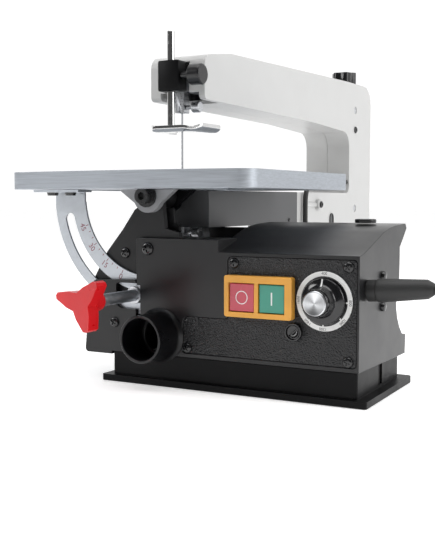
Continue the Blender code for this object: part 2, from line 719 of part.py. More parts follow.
def table_outline():
    """Bowed front and rear edges, straight ends and round corners."""
    corner = TABLE_CORNER
    left, right = TABLE_LEFT + corner, TABLE_RIGHT - corner
    front, rear = TABLE_FRONT + corner, TABLE_REAR - corner
    out = bowed((left, TABLE_FRONT), (right, TABLE_FRONT), TABLE_BULGE, 12)
    out += arc((right, front), corner, -84, 0, 6)[1:]
    out += arc((right, rear), corner, 0, 84, 6)
    out += bowed((right, TABLE_REAR), (left, TABLE_REAR), TABLE_BULGE, 12)
    out += arc((left, rear), corner, 96, 180, 6)[1:]
    out += arc((left, front), corner, 180, 264, 6)
    return out


def make_table():
    table = put(plate_mesh("table", [table_outline()], "flat", TABLE_BOTTOM, TABLE_TOP), "table",
                "table_aluminium", pivot=(BLADE_X, 0, TILT_Z))
    below = TABLE_BOTTOM - 5
    pockets = ((-230, -132, 32, 204), (-124, 41, 104, 204), (-48, 41, -34, 96))
    for i, (x0, x1, y0, y1) in enumerate(pockets):
        cut(table, box_mesh(f"table_pocket_{i}", (x0, y0, below), (x1, y1, TABLE_TOP - 6)))
    cut(table, box_mesh("pivot_head_way", (BLADE_X - 14, -12, below), (BLADE_X + 14, 3.2, 206.8)))
    cut(table, box_mesh("collar_way", (BLADE_X - 15, 11.4, below),
                        (BLADE_X + 15, COLLAR_BACK + 0.4, TILT_Z + COLLAR_RADIUS + 0.8)))
    cut(table, rod_mesh("insert_seat", (-80, BLADE_Y, TABLE_TOP - 3), "Z", 6, 27, sides=36))
    cut(table, box_mesh("blade_way", (-99, 66, TABLE_BOTTOM - 5), (-57, 79, TABLE_TOP + 1)))
    insert = put(rod_mesh("table_insert", (-80, BLADE_Y, TABLE_TOP - 2.7), "Z", 2.6, 26.6, sides=36),
                 "table_insert", "black_plastic", pivot=(BLADE_X, 0, TILT_Z))
    cut(insert, box_mesh("insert_slot", (-96, 69, TABLE_TOP - 8), (-62, 76, TABLE_TOP + 3)))


# ---------------------------------------------------------------- C-frame

def frame_outline():
    """Side view of the C-frame: the column, the upper limb and the stepped lower limb."""
    corners = [
        (LIMB_FRONT, BASE_TOP + GAP), (COLUMN_REAR, BASE_TOP + GAP), (COLUMN_REAR, FRAME_TOP),
        (470, FRAME_TOP), (120, 350), (62, 342), (62, 296), (347, 292), (COLUMN_FRONT, 286),
        (COLUMN_FRONT, LIMB_TOP), (STEP_Y, LIMB_TOP), (STEP_Y, STEP_Z), (LIMB_FRONT, STEP_Z)]
    return rounded(corners, [4, 8, 26, 0, 0, 14, 5, 0, 22, 10, 6, 3, 8], 5)


def arm_channel():
    """The room inside the column and the limbs, where the two arms rock."""
    rear = COLUMN_REAR - FRAME_WALL
    front = COLUMN_FRONT + FRAME_WALL
    return rounded([
        (STEP_Y + FRAME_WALL, STEP_Z), (rear, STEP_Z), (rear, FRAME_TOP - FRAME_WALL),
        (470, FRAME_TOP - FRAME_WALL), (120, 346), (66, 338.5), (66, 300), (347, 296), (front, 290),
        (front, LIMB_TOP - FRAME_WALL), (STEP_Y + FRAME_WALL, LIMB_TOP - FRAME_WALL)],
        [2, 4, 22, 0, 0, 10, 2, 0, 18, 6, 2], 4)


def make_frame():
    outline = frame_outline()
    wall = FRAME_WALL
    lower_room = rectangle(LIMB_FRONT + wall, COLUMN_REAR - wall, BASE_TOP + wall, STEP_Z - wall)
    halves = (("frame_left", FRAME_LEFT, BLADE_X - 0.2), ("frame_right", BLADE_X + 0.2, FRAME_RIGHT))
    for name, low, high in halves:
        half = put(plate_mesh(name, [outline], "side", low, high), name, "white_paint")
        room = (low + FRAME_WALL, high + 5) if low == FRAME_LEFT else (low - 5, high - FRAME_WALL)
        cut(half, plate_mesh(name + "_channel", [arm_channel()], "side", *room))
        cut(half, plate_mesh(name + "_lower_room", [lower_room], "side", *room))
        cut(half, box_mesh(name + "_nose", (-112, 50, 290), (-64, 104, 304)))
        cut(half, box_mesh(name + "_nose_front", (-106, 50, 298), (-76, 70, 336)))
        cut(half, box_mesh(name + "_arm_way", (-104, STEP_Y - 8, 157), (-78, STEP_Y + 9, LIMB_TOP - wall)))
        cut(half, rod_mesh(name + "_rod_way", (BLADE_X, ROD_Y, 345), "Z", 30, 7))
        for z in (LOWER_PIVOT_Z, UPPER_PIVOT_Z):
            cut(half, rod_mesh(f"{name}_pin_way_{z:.0f}", (-140, PIVOT_Y, z), "X", 100, PIN_RADIUS + GAP))
        if name == "frame_right":
            cut(half, rod_mesh("hose_way", (-70, HOSE_Y, HOSE_Z + 5.5), "X", 30, 8.6))


def make_pivot_pins():
    for name, z in (("lower_pivot_pin", LOWER_PIVOT_Z), ("upper_pivot_pin", UPPER_PIVOT_Z)):
        put(rod_mesh(name, (-123.6, PIVOT_Y, z), "X", 66.2, PIN_RADIUS, sides=20), name, "steel",
            pivot=(BLADE_X, PIVOT_Y, z))


def make_arm_cover():
    """The open-topped black cover around the front of the lower arm."""
    left, right, front, rear, bottom, top = -100, -50, 58.6, 282, 161, 200
    cover = put(box_mesh("lower_arm_cover", (left, front, bottom), (right, rear, top)), "lower_arm_cover",
                "black_plastic")
    cut(cover, box_mesh("cover_room", (left + 2, front + 2, bottom + 2), (right - 2, rear + 5, top + 5)))
    cut(cover, box_mesh("cover_left_edge", (left - 3, front - 3, 193), (left + 3, rear + 5, top + 5)))
    cut(cover, box_mesh("cover_floor_way", (left + 2, front + 4, bottom - 3), (-62, 126, bottom + 4)))
    corner = box_mesh("cover_corner", (-20, -5, 0), (20, 10, 20))
    corner.transform(Matrix.Translation((-96.5, front, 196.5)) @ Matrix.Rotation(math.radians(-45), 4, "Y"))
    cut(cover, corner)


# ---------------------------------------------------------------- arms, blade and tension rod

def make_arms():
    lower = [(64, 172), (300, 168), (470, 165), (552, 166), (552, 190), (470, 192), (64, 190)]
    arm = put(plate_mesh("lower_arm", [rounded(lower, [2, 0, 0, 6, 6, 0, 2]),
                                       circle((PIVOT_Y, LOWER_PIVOT_Z), PIN_RADIUS + GAP, 20)],
                         "side", ARM_LEFT, ARM_RIGHT), "lower_arm", "cast_aluminium",
              pivot=(BLADE_X, PIVOT_Y, LOWER_PIVOT_Z))
    cut(arm, box_mesh("lower_fork", (-93.4, 55, 150), (-88.6, 80, 220)))
    upper = [(64, 307), (300, 308), (552, 308), (552, 332), (300, 330), (64, 323)]
    arm = put(plate_mesh("upper_arm", [rounded(upper, [2, 0, 6, 6, 0, 4]),
                                       circle((PIVOT_Y, UPPER_PIVOT_Z), PIN_RADIUS + GAP, 20)],
                         "side", ARM_LEFT, ARM_RIGHT), "upper_arm", "cast_aluminium",
              pivot=(BLADE_X, PIVOT_Y, UPPER_PIVOT_Z))
    cut(arm, rod_mesh("upper_rod_way", (BLADE_X, ROD_Y, 290), "Z", 60, ROD_RADIUS + 0.8))


def make_blade():
    """A 133 mm pinless blade between its two clamps."""
    pivot = (BLADE_X, BLADE_Y, 314)
    front, rear = BLADE_Y - BLADE_HALF_WIDTH, BLADE_Y + BLADE_HALF_WIDTH
    left, right = BLADE_X - BLADE_HALF_THICKNESS, BLADE_X + BLADE_HALF_THICKNESS
    blade = put(box_mesh("blade", (left, front, BLADE_LOW), (right, rear, BLADE_HIGH)), "blade", "steel",
                pivot=pivot)
    for i in range(12):
        gullet = box_mesh("blade_gullet", (-1, -0.55, -0.55), (1, 0.55, 0.55))
        gullet.transform(Matrix.Translation((BLADE_X, front - 0.15, 199.2 + 5.6 * i))
                         @ Matrix.Rotation(math.radians(45), 4, "X"))
        cut(blade, gullet)
    make_blade_clamp("upper", 283, 306.2, (281, BLADE_HIGH + 1), BLADE_HIGH)
    make_blade_clamp("lower", 150, 171.2, (BLADE_LOW - 0.6, 173.2), BLADE_LOW)


def make_blade_clamp(which, low, high, slit, screw_z):
    """A steel block slit for the blade's end, and the thumbscrew that closes it."""
    name = which + "_blade_clamp"
    clamp = put(box_mesh(name, (ARM_LEFT, CLAMP_FRONT, low), (ARM_RIGHT, CLAMP_REAR, high)), name, "steel",
                pivot=(BLADE_X, BLADE_Y, 314))
    cut(clamp, box_mesh(name + "_slit", (BLADE_X - 0.7, CLAMP_FRONT - 3, slit[0]),
                        (BLADE_X + 0.7, BLADE_Y + 2, slit[1])))
    bevel(clamp, 0.8, 1)
    thumb = [(0, 17), (5.4, 17), (6, 16.2), (6, 8.4), (5.4, 7.6), (2.4, 7.4), (2.4, 0), (0, 0)]
    turned(which + "_thumbscrew", "steel", thumb, 20, (ARM_RIGHT + 0.4, BLADE_Y, screw_z), TURNS["X"])


def make_tension_rod():
    rod = put(rod_mesh("tension_rod", (BLADE_X, ROD_Y, ROD_FOOT_Z + 0.4), "Z", 178, ROD_RADIUS, sides=20),
              "tension_rod", "steel", pivot=(BLADE_X, ROD_Y, LOWER_PIVOT_Z))
    add(rod, rod_mesh("rod_foot", (BLADE_X, ROD_Y, ROD_FOOT_Z), "Z", 8, 7, sides=20))
    lobes = []
    for i in range(48):
        a = math.radians(i * 7.5)
        r = 17 + 1.6 * math.cos(6 * a)
        lobes.append((BLADE_X + r * math.cos(a), ROD_Y + r * math.sin(a)))
    knob = put(plate_mesh("tension_knob", [lobes], "flat", *TENSION_KNOB), "tension_knob", "black_plastic",
               pivot=(BLADE_X, ROD_Y, 360))
    cut(knob, rod_mesh("tension_bore", (BLADE_X, ROD_Y, 355), "Z", 15, ROD_RADIUS + GAP, sides=20))
    bevel(knob, 1.5, 2, 50)


# ---------------------------------------------------------------- hold-down

def make_hold_down():
    """The guide on the nose, the rod that slides in it, the chrome foot and the lock knob."""
    guide = put(box_mesh("hold_down_guide", (-104, 43.5, 304), (-78, 61.6, 336)), "hold_down_guide",
                "black_casting")
    cut(guide, rod_mesh("guide_bore", (BLADE_X, HOLD_Y, 295), "Z", 50, 4.3, sides=24))
    bevel(guide, 2, 2)
    pivot = (BLADE_X, HOLD_Y, FOOT_Z[0])
    rod = put(rod_mesh("hold_down_rod", (BLADE_X, HOLD_Y, 266.6), "Z", 100, 4, sides=24), "hold_down_rod",
              "chrome", pivot=pivot)
    outline = rounded([(-124, 62), (-111, 44), (-71, 44), (-60, 62), (-60, 104), (-68, 104), (-70, 78),
                       (-84, 66), (-98, 66), (-113, 78), (-116, 104), (-124, 104)],
                      [6, 6, 6, 6, 3.5, 3.5, 8, 6, 6, 8, 3.5, 3.5])
    foot = put(plate_mesh("hold_down_foot", [outline], "flat", *FOOT_Z), "hold_down_foot", "chrome",
               pivot=pivot)
    cut(foot, box_mesh("foot_gap", (-93, 60, 255), (-89, 80, 270)))
    bevel(foot, 1.0, 2)
    side = [(0, 26), (9.5, 26), (11, 24.5), (11, 12), (9.5, 10.5), (4, 9), (4, 0), (0, 0)]
    turned("hold_down_knob", "black_plastic", side, 24, (-77.6, HOLD_Y, 320), TURNS["X"])


# ---------------------------------------------------------------- blower

def make_blower():
    folds = [(0, 13)]
    for fold in range(3):
        top = 13 - fold * 4
        folds += [(17, top), (17, top - 1.4), (13.5, top - 2.7)]
    folds += [(17, 1), (17, 0), (0, 0)]
    turned("blower_bellows", "rubber", folds, 28, (BLADE_X, HOSE_Y, STEP_Z + GAP))
    y, z = HOSE_Y, HOSE_Z
    route = smooth_route([
        (-73.2, y, z), (-68.5, y, z + 0.2), (-61, y, z + 2.6), (-54.2, y, z + 8.5), (-52.2, y, z + 17.5),
        (-52.2, y, 165), (-52.2, y, 183), (-52.2, y + 0.6, 194), (-52.2, y + 5, 204), (-52.8, y + 14, 210.5),
        (-53.4, y + 30, 213), (-57, 400, 214.5), (-61, 440, 216), (-62, 462, 216),
        (-62, COLUMN_FRONT - 2 * GAP, 216)], 2.2 * HOSE_DIAMETER)
    tube("blower_hose", "rubber", route, HOSE_DIAMETER)


# ---------------------------------------------------------------- mains cord

def boot_turn():
    return Matrix.Rotation(math.radians(90) - BOOT_RISE, 4, "Y")


def boot_tip(extra=0.0):
    reach = BOOT_LENGTH + extra
    root = Vector(BOOT_ROOT)
    return root + Vector((math.cos(BOOT_RISE), 0, math.sin(BOOT_RISE))) * reach


def make_boot():
    """Strain relief. Its root is square to the cord, and it leaves the side wall with a small rise."""
    end = BOOT_LENGTH
    profile = [(0, end), (BOOT_TIP_RADIUS, end), (6, end - 2), (8.9, end - 7), (10.6, 24), (11.1, 14),
               (10.9, 10.6), (10.2, 10.2), (10.2, 1.0), (0, 1.0)]
    turned("cord_boot", "rubber", profile, 28, BOOT_ROOT, boot_turn())


def cord_route():
    """Out of the boot, down in an easy bend, and in another along the ground to the outside of the coil."""
    lie = FLOOR + CORD_DIAMETER / 2 + 0.1
    y = BOOT_ROOT[1]
    bend_start = boot_tip(BEND_AFTER)
    upper = (bend_start.x + CORD_BEND * math.sin(BOOT_RISE), bend_start.z - CORD_BEND * math.cos(BOOT_RISE))
    lower = (upper[0] + 2 * CORD_BEND, lie + CORD_BEND)
    line = arc(upper, CORD_BEND, 90 + math.degrees(BOOT_RISE), 0, 6)
    line += arc(lower, CORD_BEND, 180, 270, 6)
    return [tuple(boot_tip(GAP)), *((x, y, z) for x, z in line), (COIL_CENTRE[0], y, lie)]


def make_cord():
    tube("cord", "rubber", smooth_route(cord_route(), 2.2 * CORD_DIAMETER), CORD_DIAMETER)
    half = COIL_COLUMNS * CORD_DIAMETER / 2 + COIL_SLACK
    inner = COIL_MID_RADIUS - half
    outer = COIL_MID_RADIUS + half
    height = COIL_LAYERS * CORD_DIAMETER + 0.4
    section = [(outer, height), (outer, 0), (inner, 0), (inner, height), (outer, height)]
    turned("cord_coil", "rubber", section, 40, (*COIL_CENTRE, FLOOR + 0.05))


def make_plug():
    """A two-pin mains plug, lying beside the coil where the lead's tail ends."""
    cx, cy = COIL_CENTRE
    place = Matrix.Translation((cx + COIL_MID_RADIUS + 12.6, cy + TAIL_LENGTH,
                                FLOOR + PLUG_HALF_HEIGHT + 0.2))
    place = place @ Matrix.Rotation(PLUG_TURN, 4, "Z")
    outline = rounded([(-4.5, 0), (4.5, 0), (12, 16), (17, 22), (17, 40), (-17, 40), (-17, 22), (-12, 16)],
                      [1, 1, 5, 5, 4, 4, 5, 5])
    body = plate_mesh("plug", [outline], "flat", -PLUG_HALF_HEIGHT, PLUG_HALF_HEIGHT)
    body.transform(place)
    plug = put(body, "plug", "rubber", pivot=place.translation)
    for side in (-9.5, 9.5):
        pin = rod_mesh("plug_pin", (side, 36, 0), "Y", 23, 2.4, sides=14)
        pin.transform(place)
        add(plug, pin)


# ---------------------------------------------------------------- assembly

make_base()
make_housing()
make_panel()
make_screws()
make_switch()
make_dial()
make_fuse_cap()
make_dust_port()
make_housing_cap()
make_motor()
make_rotor()
make_drive_link()
make_board()
make_trunnion()
make_clamp_plate()
make_quadrant()
make_lugs()
make_clamp()
make_table()
make_frame()
make_pivot_pins()
make_arm_cover()
make_arms()
make_blade()
make_tension_rod()
make_hold_down()
make_blower()
make_boot()
make_cord()
make_plug()
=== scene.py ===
"""Scroll saw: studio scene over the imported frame. Lengths are in the saw's own millimetres, as in its CAD."""

import json
import math

import bmesh  # noqa: E402
import bpy  # noqa: E402
from mathutils import Matrix, Vector  # noqa: E402

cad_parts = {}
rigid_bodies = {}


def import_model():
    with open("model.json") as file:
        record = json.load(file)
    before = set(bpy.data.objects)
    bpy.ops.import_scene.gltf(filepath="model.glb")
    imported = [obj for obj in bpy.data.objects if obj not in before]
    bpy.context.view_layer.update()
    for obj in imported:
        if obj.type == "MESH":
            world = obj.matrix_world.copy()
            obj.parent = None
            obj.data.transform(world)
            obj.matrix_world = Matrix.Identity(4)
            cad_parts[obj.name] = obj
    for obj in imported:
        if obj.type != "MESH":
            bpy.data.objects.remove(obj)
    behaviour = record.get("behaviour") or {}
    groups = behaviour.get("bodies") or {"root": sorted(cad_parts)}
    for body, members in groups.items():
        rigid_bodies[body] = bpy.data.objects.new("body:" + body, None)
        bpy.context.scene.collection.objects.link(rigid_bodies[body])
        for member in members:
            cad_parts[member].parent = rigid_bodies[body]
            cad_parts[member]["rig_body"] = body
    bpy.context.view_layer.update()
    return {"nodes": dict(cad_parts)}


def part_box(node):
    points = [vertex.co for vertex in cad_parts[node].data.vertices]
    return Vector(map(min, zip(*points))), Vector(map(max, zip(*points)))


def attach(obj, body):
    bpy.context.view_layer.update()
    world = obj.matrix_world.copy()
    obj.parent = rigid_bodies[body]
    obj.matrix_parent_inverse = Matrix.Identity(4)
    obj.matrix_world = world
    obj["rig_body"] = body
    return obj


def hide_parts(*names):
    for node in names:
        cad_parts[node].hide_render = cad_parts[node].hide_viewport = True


MM = 0.001
GAP = 0.3
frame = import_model()
# The base's lowest corner is 147.5 mm left of the machine's own origin.
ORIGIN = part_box("base")[0] - Vector((-147.5, 0, 0)) * MM

BLADE_X = -91.0
TILT_Z = 194.0
DIAL = (103.8, 96.3)
CORD_DIAMETER = 7.5
COIL_CENTRE = (292.0, 86.9)
COIL_MID_RADIUS = 45.0
COIL_PITCH = 7.7
TAIL_LENGTH = 78.0


def at(x, y, z):
    """A place in the saw's own millimetres, in the frame's metres."""
    return ORIGIN + Vector((x, y, z)) * MM


# ---------------------------------------------------------------- camera, light and floor

CAMERA_PLACE = (436.5, -790, 189.7)
CAMERA_LENS = 62.3
CAMERA_PITCH = math.radians(85.8)
CAMERA_HEADING = math.radians(29.3)


def make_camera():
    """The camera at the photograph's angle: 29.3 degrees to the right of the front, and nearly level."""
    data = bpy.data.cameras.new("camera")
    data.lens = CAMERA_LENS
    data.sensor_width = 36
    data.clip_start = 0.01
    camera = bpy.data.objects.new("camera", data)
    camera.location = at(*CAMERA_PLACE)
    camera.rotation_euler = (CAMERA_PITCH, 0, CAMERA_HEADING)
    bpy.context.scene.collection.objects.link(camera)
    bpy.context.scene.camera = camera


# Each softbox: name, place and target in metres, width and height in metres, and power in watts.
SOFTBOXES = [
    ("overhead", (0.1, -0.5, 1.9), (0, -0.1, 0.1), (2.0, 1.2), 23),
    ("front_left", (-1.9, -1.5, 1.3), (0, -0.1, 0.1), (0.9, 0.9), 17),
    ("right_side", (2.0, 0.2, 0.9), (0.05, -0.1, 0.1), (1.0, 1.4), 15),
]
ROOM_FRONT = 0.10
ROOM_BACK = 1.05
FLOOR_SIZE = 30
FLOOR_DROP = 0.0006
FLOOR_GLOW = 0.45


def softbox(name, place, target, size, power):
    """A rectangular light that faces its target."""
    data = bpy.data.lights.new(name, "AREA")
    data.shape = "RECTANGLE"
    data.size, data.size_y = size
    data.energy = power
    light = bpy.data.objects.new(name, data)
    light.location = place
    light.rotation_euler = (Vector(target) - Vector(place)).to_track_quat("-Z", "Y").to_euler()
    bpy.context.scene.collection.objects.link(light)


def make_world():
    """A room that lights the saw from behind more than from in front, and looks white from everywhere."""
    world = bpy.data.worlds.new("studio")
    bpy.context.scene.world = world
    world.use_nodes = True
    tree = world.node_tree
    background = tree.nodes["Background"]
    background.inputs["Color"].default_value = (1, 1, 1, 1)
    direction = tree.nodes.new("ShaderNodeTexCoord")
    split = tree.nodes.new("ShaderNodeSeparateXYZ")
    tree.links.new(direction.outputs["Generated"], split.inputs["Vector"])
    room = ranged(tree, split.outputs["Y"], ROOM_FRONT, ROOM_BACK, -0.30, 0.25)
    rays = tree.nodes.new("ShaderNodeLightPath")
    seen = tree.nodes.new("ShaderNodeMath")
    seen.operation = "MAXIMUM"
    tree.links.new(rays.outputs["Is Camera Ray"], seen.inputs[0])
    tree.links.new(room, seen.inputs[1])
    tree.links.new(seen.outputs[0], background.inputs["Strength"])


def make_studio():
    """The room, the lights and the floor."""
    make_world()
    for light in SOFTBOXES:
        softbox(*light)
    bpy.context.scene.view_settings.view_transform = "Standard"
    bpy.ops.mesh.primitive_plane_add(size=FLOOR_SIZE, location=(0, 0, -FLOOR_DROP))
    floor = bpy.context.object
    floor.name = "floor"
    floor.data.materials.append(plain_floor())


def plain_floor():
    """A pale floor that glows a little, so that it is as white as the room."""
    made, shader, _ = new_material("floor", (0.9, 0.9, 0.9), 0.85)
    shader.inputs["Emission Color"].default_value = (1, 1, 1, 1)
    shader.inputs["Emission Strength"].default_value = FLOOR_GLOW
    shader.inputs["Specular IOR Level"].default_value = 0.1
    return made


# ---------------------------------------------------------------- materials

def new_material(name, colour, roughness, metallic=0.0):
    """A plain material, with its shader and its tree for more nodes."""
    made = bpy.data.materials.new(name)
    made.use_nodes = True
    tree = made.node_tree
    shader = tree.nodes["Principled BSDF"]
    shader.inputs["Base Color"].default_value = (*colour, 1)
    shader.inputs["Roughness"].default_value = roughness
    shader.inputs["Metallic"].default_value = metallic
    return made, shader, tree


def coordinates(tree, scale=(1, 1, 1), centre=(0, 0, 0)):
    """Object coordinates in millimetres from centre, stretched by scale."""
    source = tree.nodes.new("ShaderNodeTexCoord")
    mapping = tree.nodes.new("ShaderNodeMapping")
    mapping.inputs["Location"].default_value = [-c * 1000 * s for c, s in zip(centre, scale)]
    mapping.inputs["Scale"].default_value = [1000 * s for s in scale]
    tree.links.new(source.outputs["Object"], mapping.inputs["Vector"])
    return mapping.outputs["Vector"]


def noise(tree, vector, scale, detail=3.0, roughness=0.55):
    """A noise from 0 to 1. One over scale is the size of its spots in millimetres."""
    made = tree.nodes.new("ShaderNodeTexNoise")
    made.inputs["Scale"].default_value = scale
    made.inputs["Detail"].default_value = detail
    made.inputs["Roughness"].default_value = roughness
    tree.links.new(vector, made.inputs["Vector"])
    return made.outputs["Fac"]


def ranged(tree, value, low, high, start=0.3, end=0.7):
    """A value that goes from low to high as the given one goes from start to end."""
    made = tree.nodes.new("ShaderNodeMapRange")
    made.inputs["From Min"].default_value = start
    made.inputs["From Max"].default_value = end
    made.inputs["To Min"].default_value = low
    made.inputs["To Max"].default_value = high
    tree.links.new(value, made.inputs["Value"])
    return made.outputs["Result"]


def two_colours(tree, value, first, second, start=0.35, end=0.65):
    """A colour that goes from first to second as the value goes from start to end."""
    ramp = tree.nodes.new("ShaderNodeValToRGB")
    ramp.color_ramp.elements[0].position = start
    ramp.color_ramp.elements[0].color = (*first, 1)
    ramp.color_ramp.elements[1].position = end
    ramp.color_ramp.elements[1].color = (*second, 1)
    tree.links.new(value, ramp.inputs["Fac"])
    return ramp.outputs["Color"]


def bumped(tree, shader, height, strength, distance):
    """Distance is the height of the relief in millimetres."""
    made = tree.nodes.new("ShaderNodeBump")
    made.inputs["Strength"].default_value = strength
    made.inputs["Distance"].default_value = distance * MM
    tree.links.new(height, made.inputs["Height"])
    tree.links.new(made.outputs["Normal"], shader.inputs["Normal"])


def moulded(name, colour, roughness, grain, relief, spread=0.05, coat=0.0, specular=0.5):
    """Moulded plastic: a fine grain grain millimetres across, and a faint change of colour and gloss."""
    made, shader, tree = new_material(name, colour, roughness)
    place = coordinates(tree)
    fine = noise(tree, place, 1 / grain, 2.0)
    broad = noise(tree, place, 1 / 45, 3.0)
    darker = [c * (1 - spread * 2) for c in colour]
    lighter = [min(1.0, c * (1 + spread * 2)) for c in colour]
    tree.links.new(two_colours(tree, broad, darker, lighter), shader.inputs["Base Color"])
    tree.links.new(ranged(tree, broad, roughness - spread, roughness + spread), shader.inputs["Roughness"])
    bumped(tree, shader, fine, 0.6, relief)
    shader.inputs["Specular IOR Level"].default_value = specular
    shader.inputs["Coat Weight"].default_value = coat
    shader.inputs["Coat Roughness"].default_value = 0.12
    return made


def pebbled(name, colour, roughness, cell, relief):
    """Plastic with a pebble grain: rounded bumps cell millimetres across, each with a painted highlight on its
    crown.
    """
    made, shader, tree = new_material(name, colour, roughness)
    shader.inputs["Specular IOR Level"].default_value = 0.45
    place = coordinates(tree)
    cells = tree.nodes.new("ShaderNodeTexVoronoi")
    cells.feature = "SMOOTH_F1"
    cells.inputs["Scale"].default_value = 1 / cell
    cells.inputs["Smoothness"].default_value = 0.6
    tree.links.new(place, cells.inputs["Vector"])
    crown = ranged(tree, cells.outputs["Distance"], 1.0, 0.0, 0.0, 0.7)
    # Painted highlight: the crown of each bump is coloured 2.6 times lighter, in place of the glint that light
    # makes on it.
    lighter = [c * 2.6 for c in colour]
    tree.links.new(two_colours(tree, crown, colour, lighter, 0.35, 0.9), shader.inputs["Base Color"])
    bumped(tree, shader, crown, 1.0, relief)
    return made


def brushed(name, colour, roughness, stretch, relief=0.02, spread=0.1, mottle=0.0):
    """Metal with brush marks. Stretch gives how long the marks are along X, Y and Z, in millimetres."""
    made, shader, tree = new_material(name, colour, roughness, 1.0)
    place = coordinates(tree, [1 / s for s in stretch])
    marks = noise(tree, place, 1.0, 4.0, 0.65)
    cloud = noise(tree, coordinates(tree), 1 / 14, 3.0)
    mixed = tree.nodes.new("ShaderNodeMath")
    mixed.operation = "MULTIPLY_ADD"
    mixed.inputs[1].default_value = mottle
    tree.links.new(cloud, mixed.inputs[0])
    tree.links.new(marks, mixed.inputs[2])
    middle = 0.5 + mottle / 2
    darker = [c * (1 - spread) for c in colour]
    lighter = [min(1.0, c * (1 + spread)) for c in colour]
    tree.links.new(two_colours(tree, mixed.outputs[0], darker, lighter, middle - 0.16, middle + 0.16),
                   shader.inputs["Base Color"])
    tree.links.new(ranged(tree, marks, roughness - 0.08, roughness + 0.1), shader.inputs["Roughness"])
    bumped(tree, shader, marks, 0.4, relief)
    return made


def spun(name, colour, roughness, centre):
    """A metal face turned on a lathe: fine rings about centre, and painted highlights in bright wedges, in
    place of the reflections that such rings show.
    """
    made, shader, tree = new_material(name, colour, roughness, 1.0)
    place = coordinates(tree, (1, 0, 1), centre)
    length = tree.nodes.new("ShaderNodeVectorMath")
    length.operation = "LENGTH"
    tree.links.new(place, length.inputs[0])
    rings = noise(tree, length.outputs["Value"], 3.0, 3.0)
    split = tree.nodes.new("ShaderNodeSeparateXYZ")
    tree.links.new(place, split.inputs["Vector"])
    angle = tree.nodes.new("ShaderNodeMath")
    angle.operation = "ARCTAN2"
    tree.links.new(split.outputs["Z"], angle.inputs[0])
    tree.links.new(split.outputs["X"], angle.inputs[1])
    # Painted highlight: three bright wedges round the centre, coloured in, in place of the cap's reflections.
    wedge_highlights = tree.nodes.new("ShaderNodeMath")
    wedge_highlights.operation = "SINE"
    sweep = ranged(tree, angle.outputs[0], 0.4, 0.4 + 6 * math.pi, -math.pi, math.pi)
    tree.links.new(sweep, wedge_highlights.inputs[0])
    both = tree.nodes.new("ShaderNodeMath")
    both.operation = "MULTIPLY_ADD"
    both.inputs[1].default_value = 0.28
    tree.links.new(wedge_highlights.outputs[0], both.inputs[0])
    tree.links.new(rings, both.inputs[2])
    darker = [c * 0.42 for c in colour]
    tree.links.new(two_colours(tree, both.outputs[0], darker, colour, 0.2, 0.8), shader.inputs["Base Color"])
    bumped(tree, shader, rings, 0.5, 0.02)
    return made


MATERIALS = {}


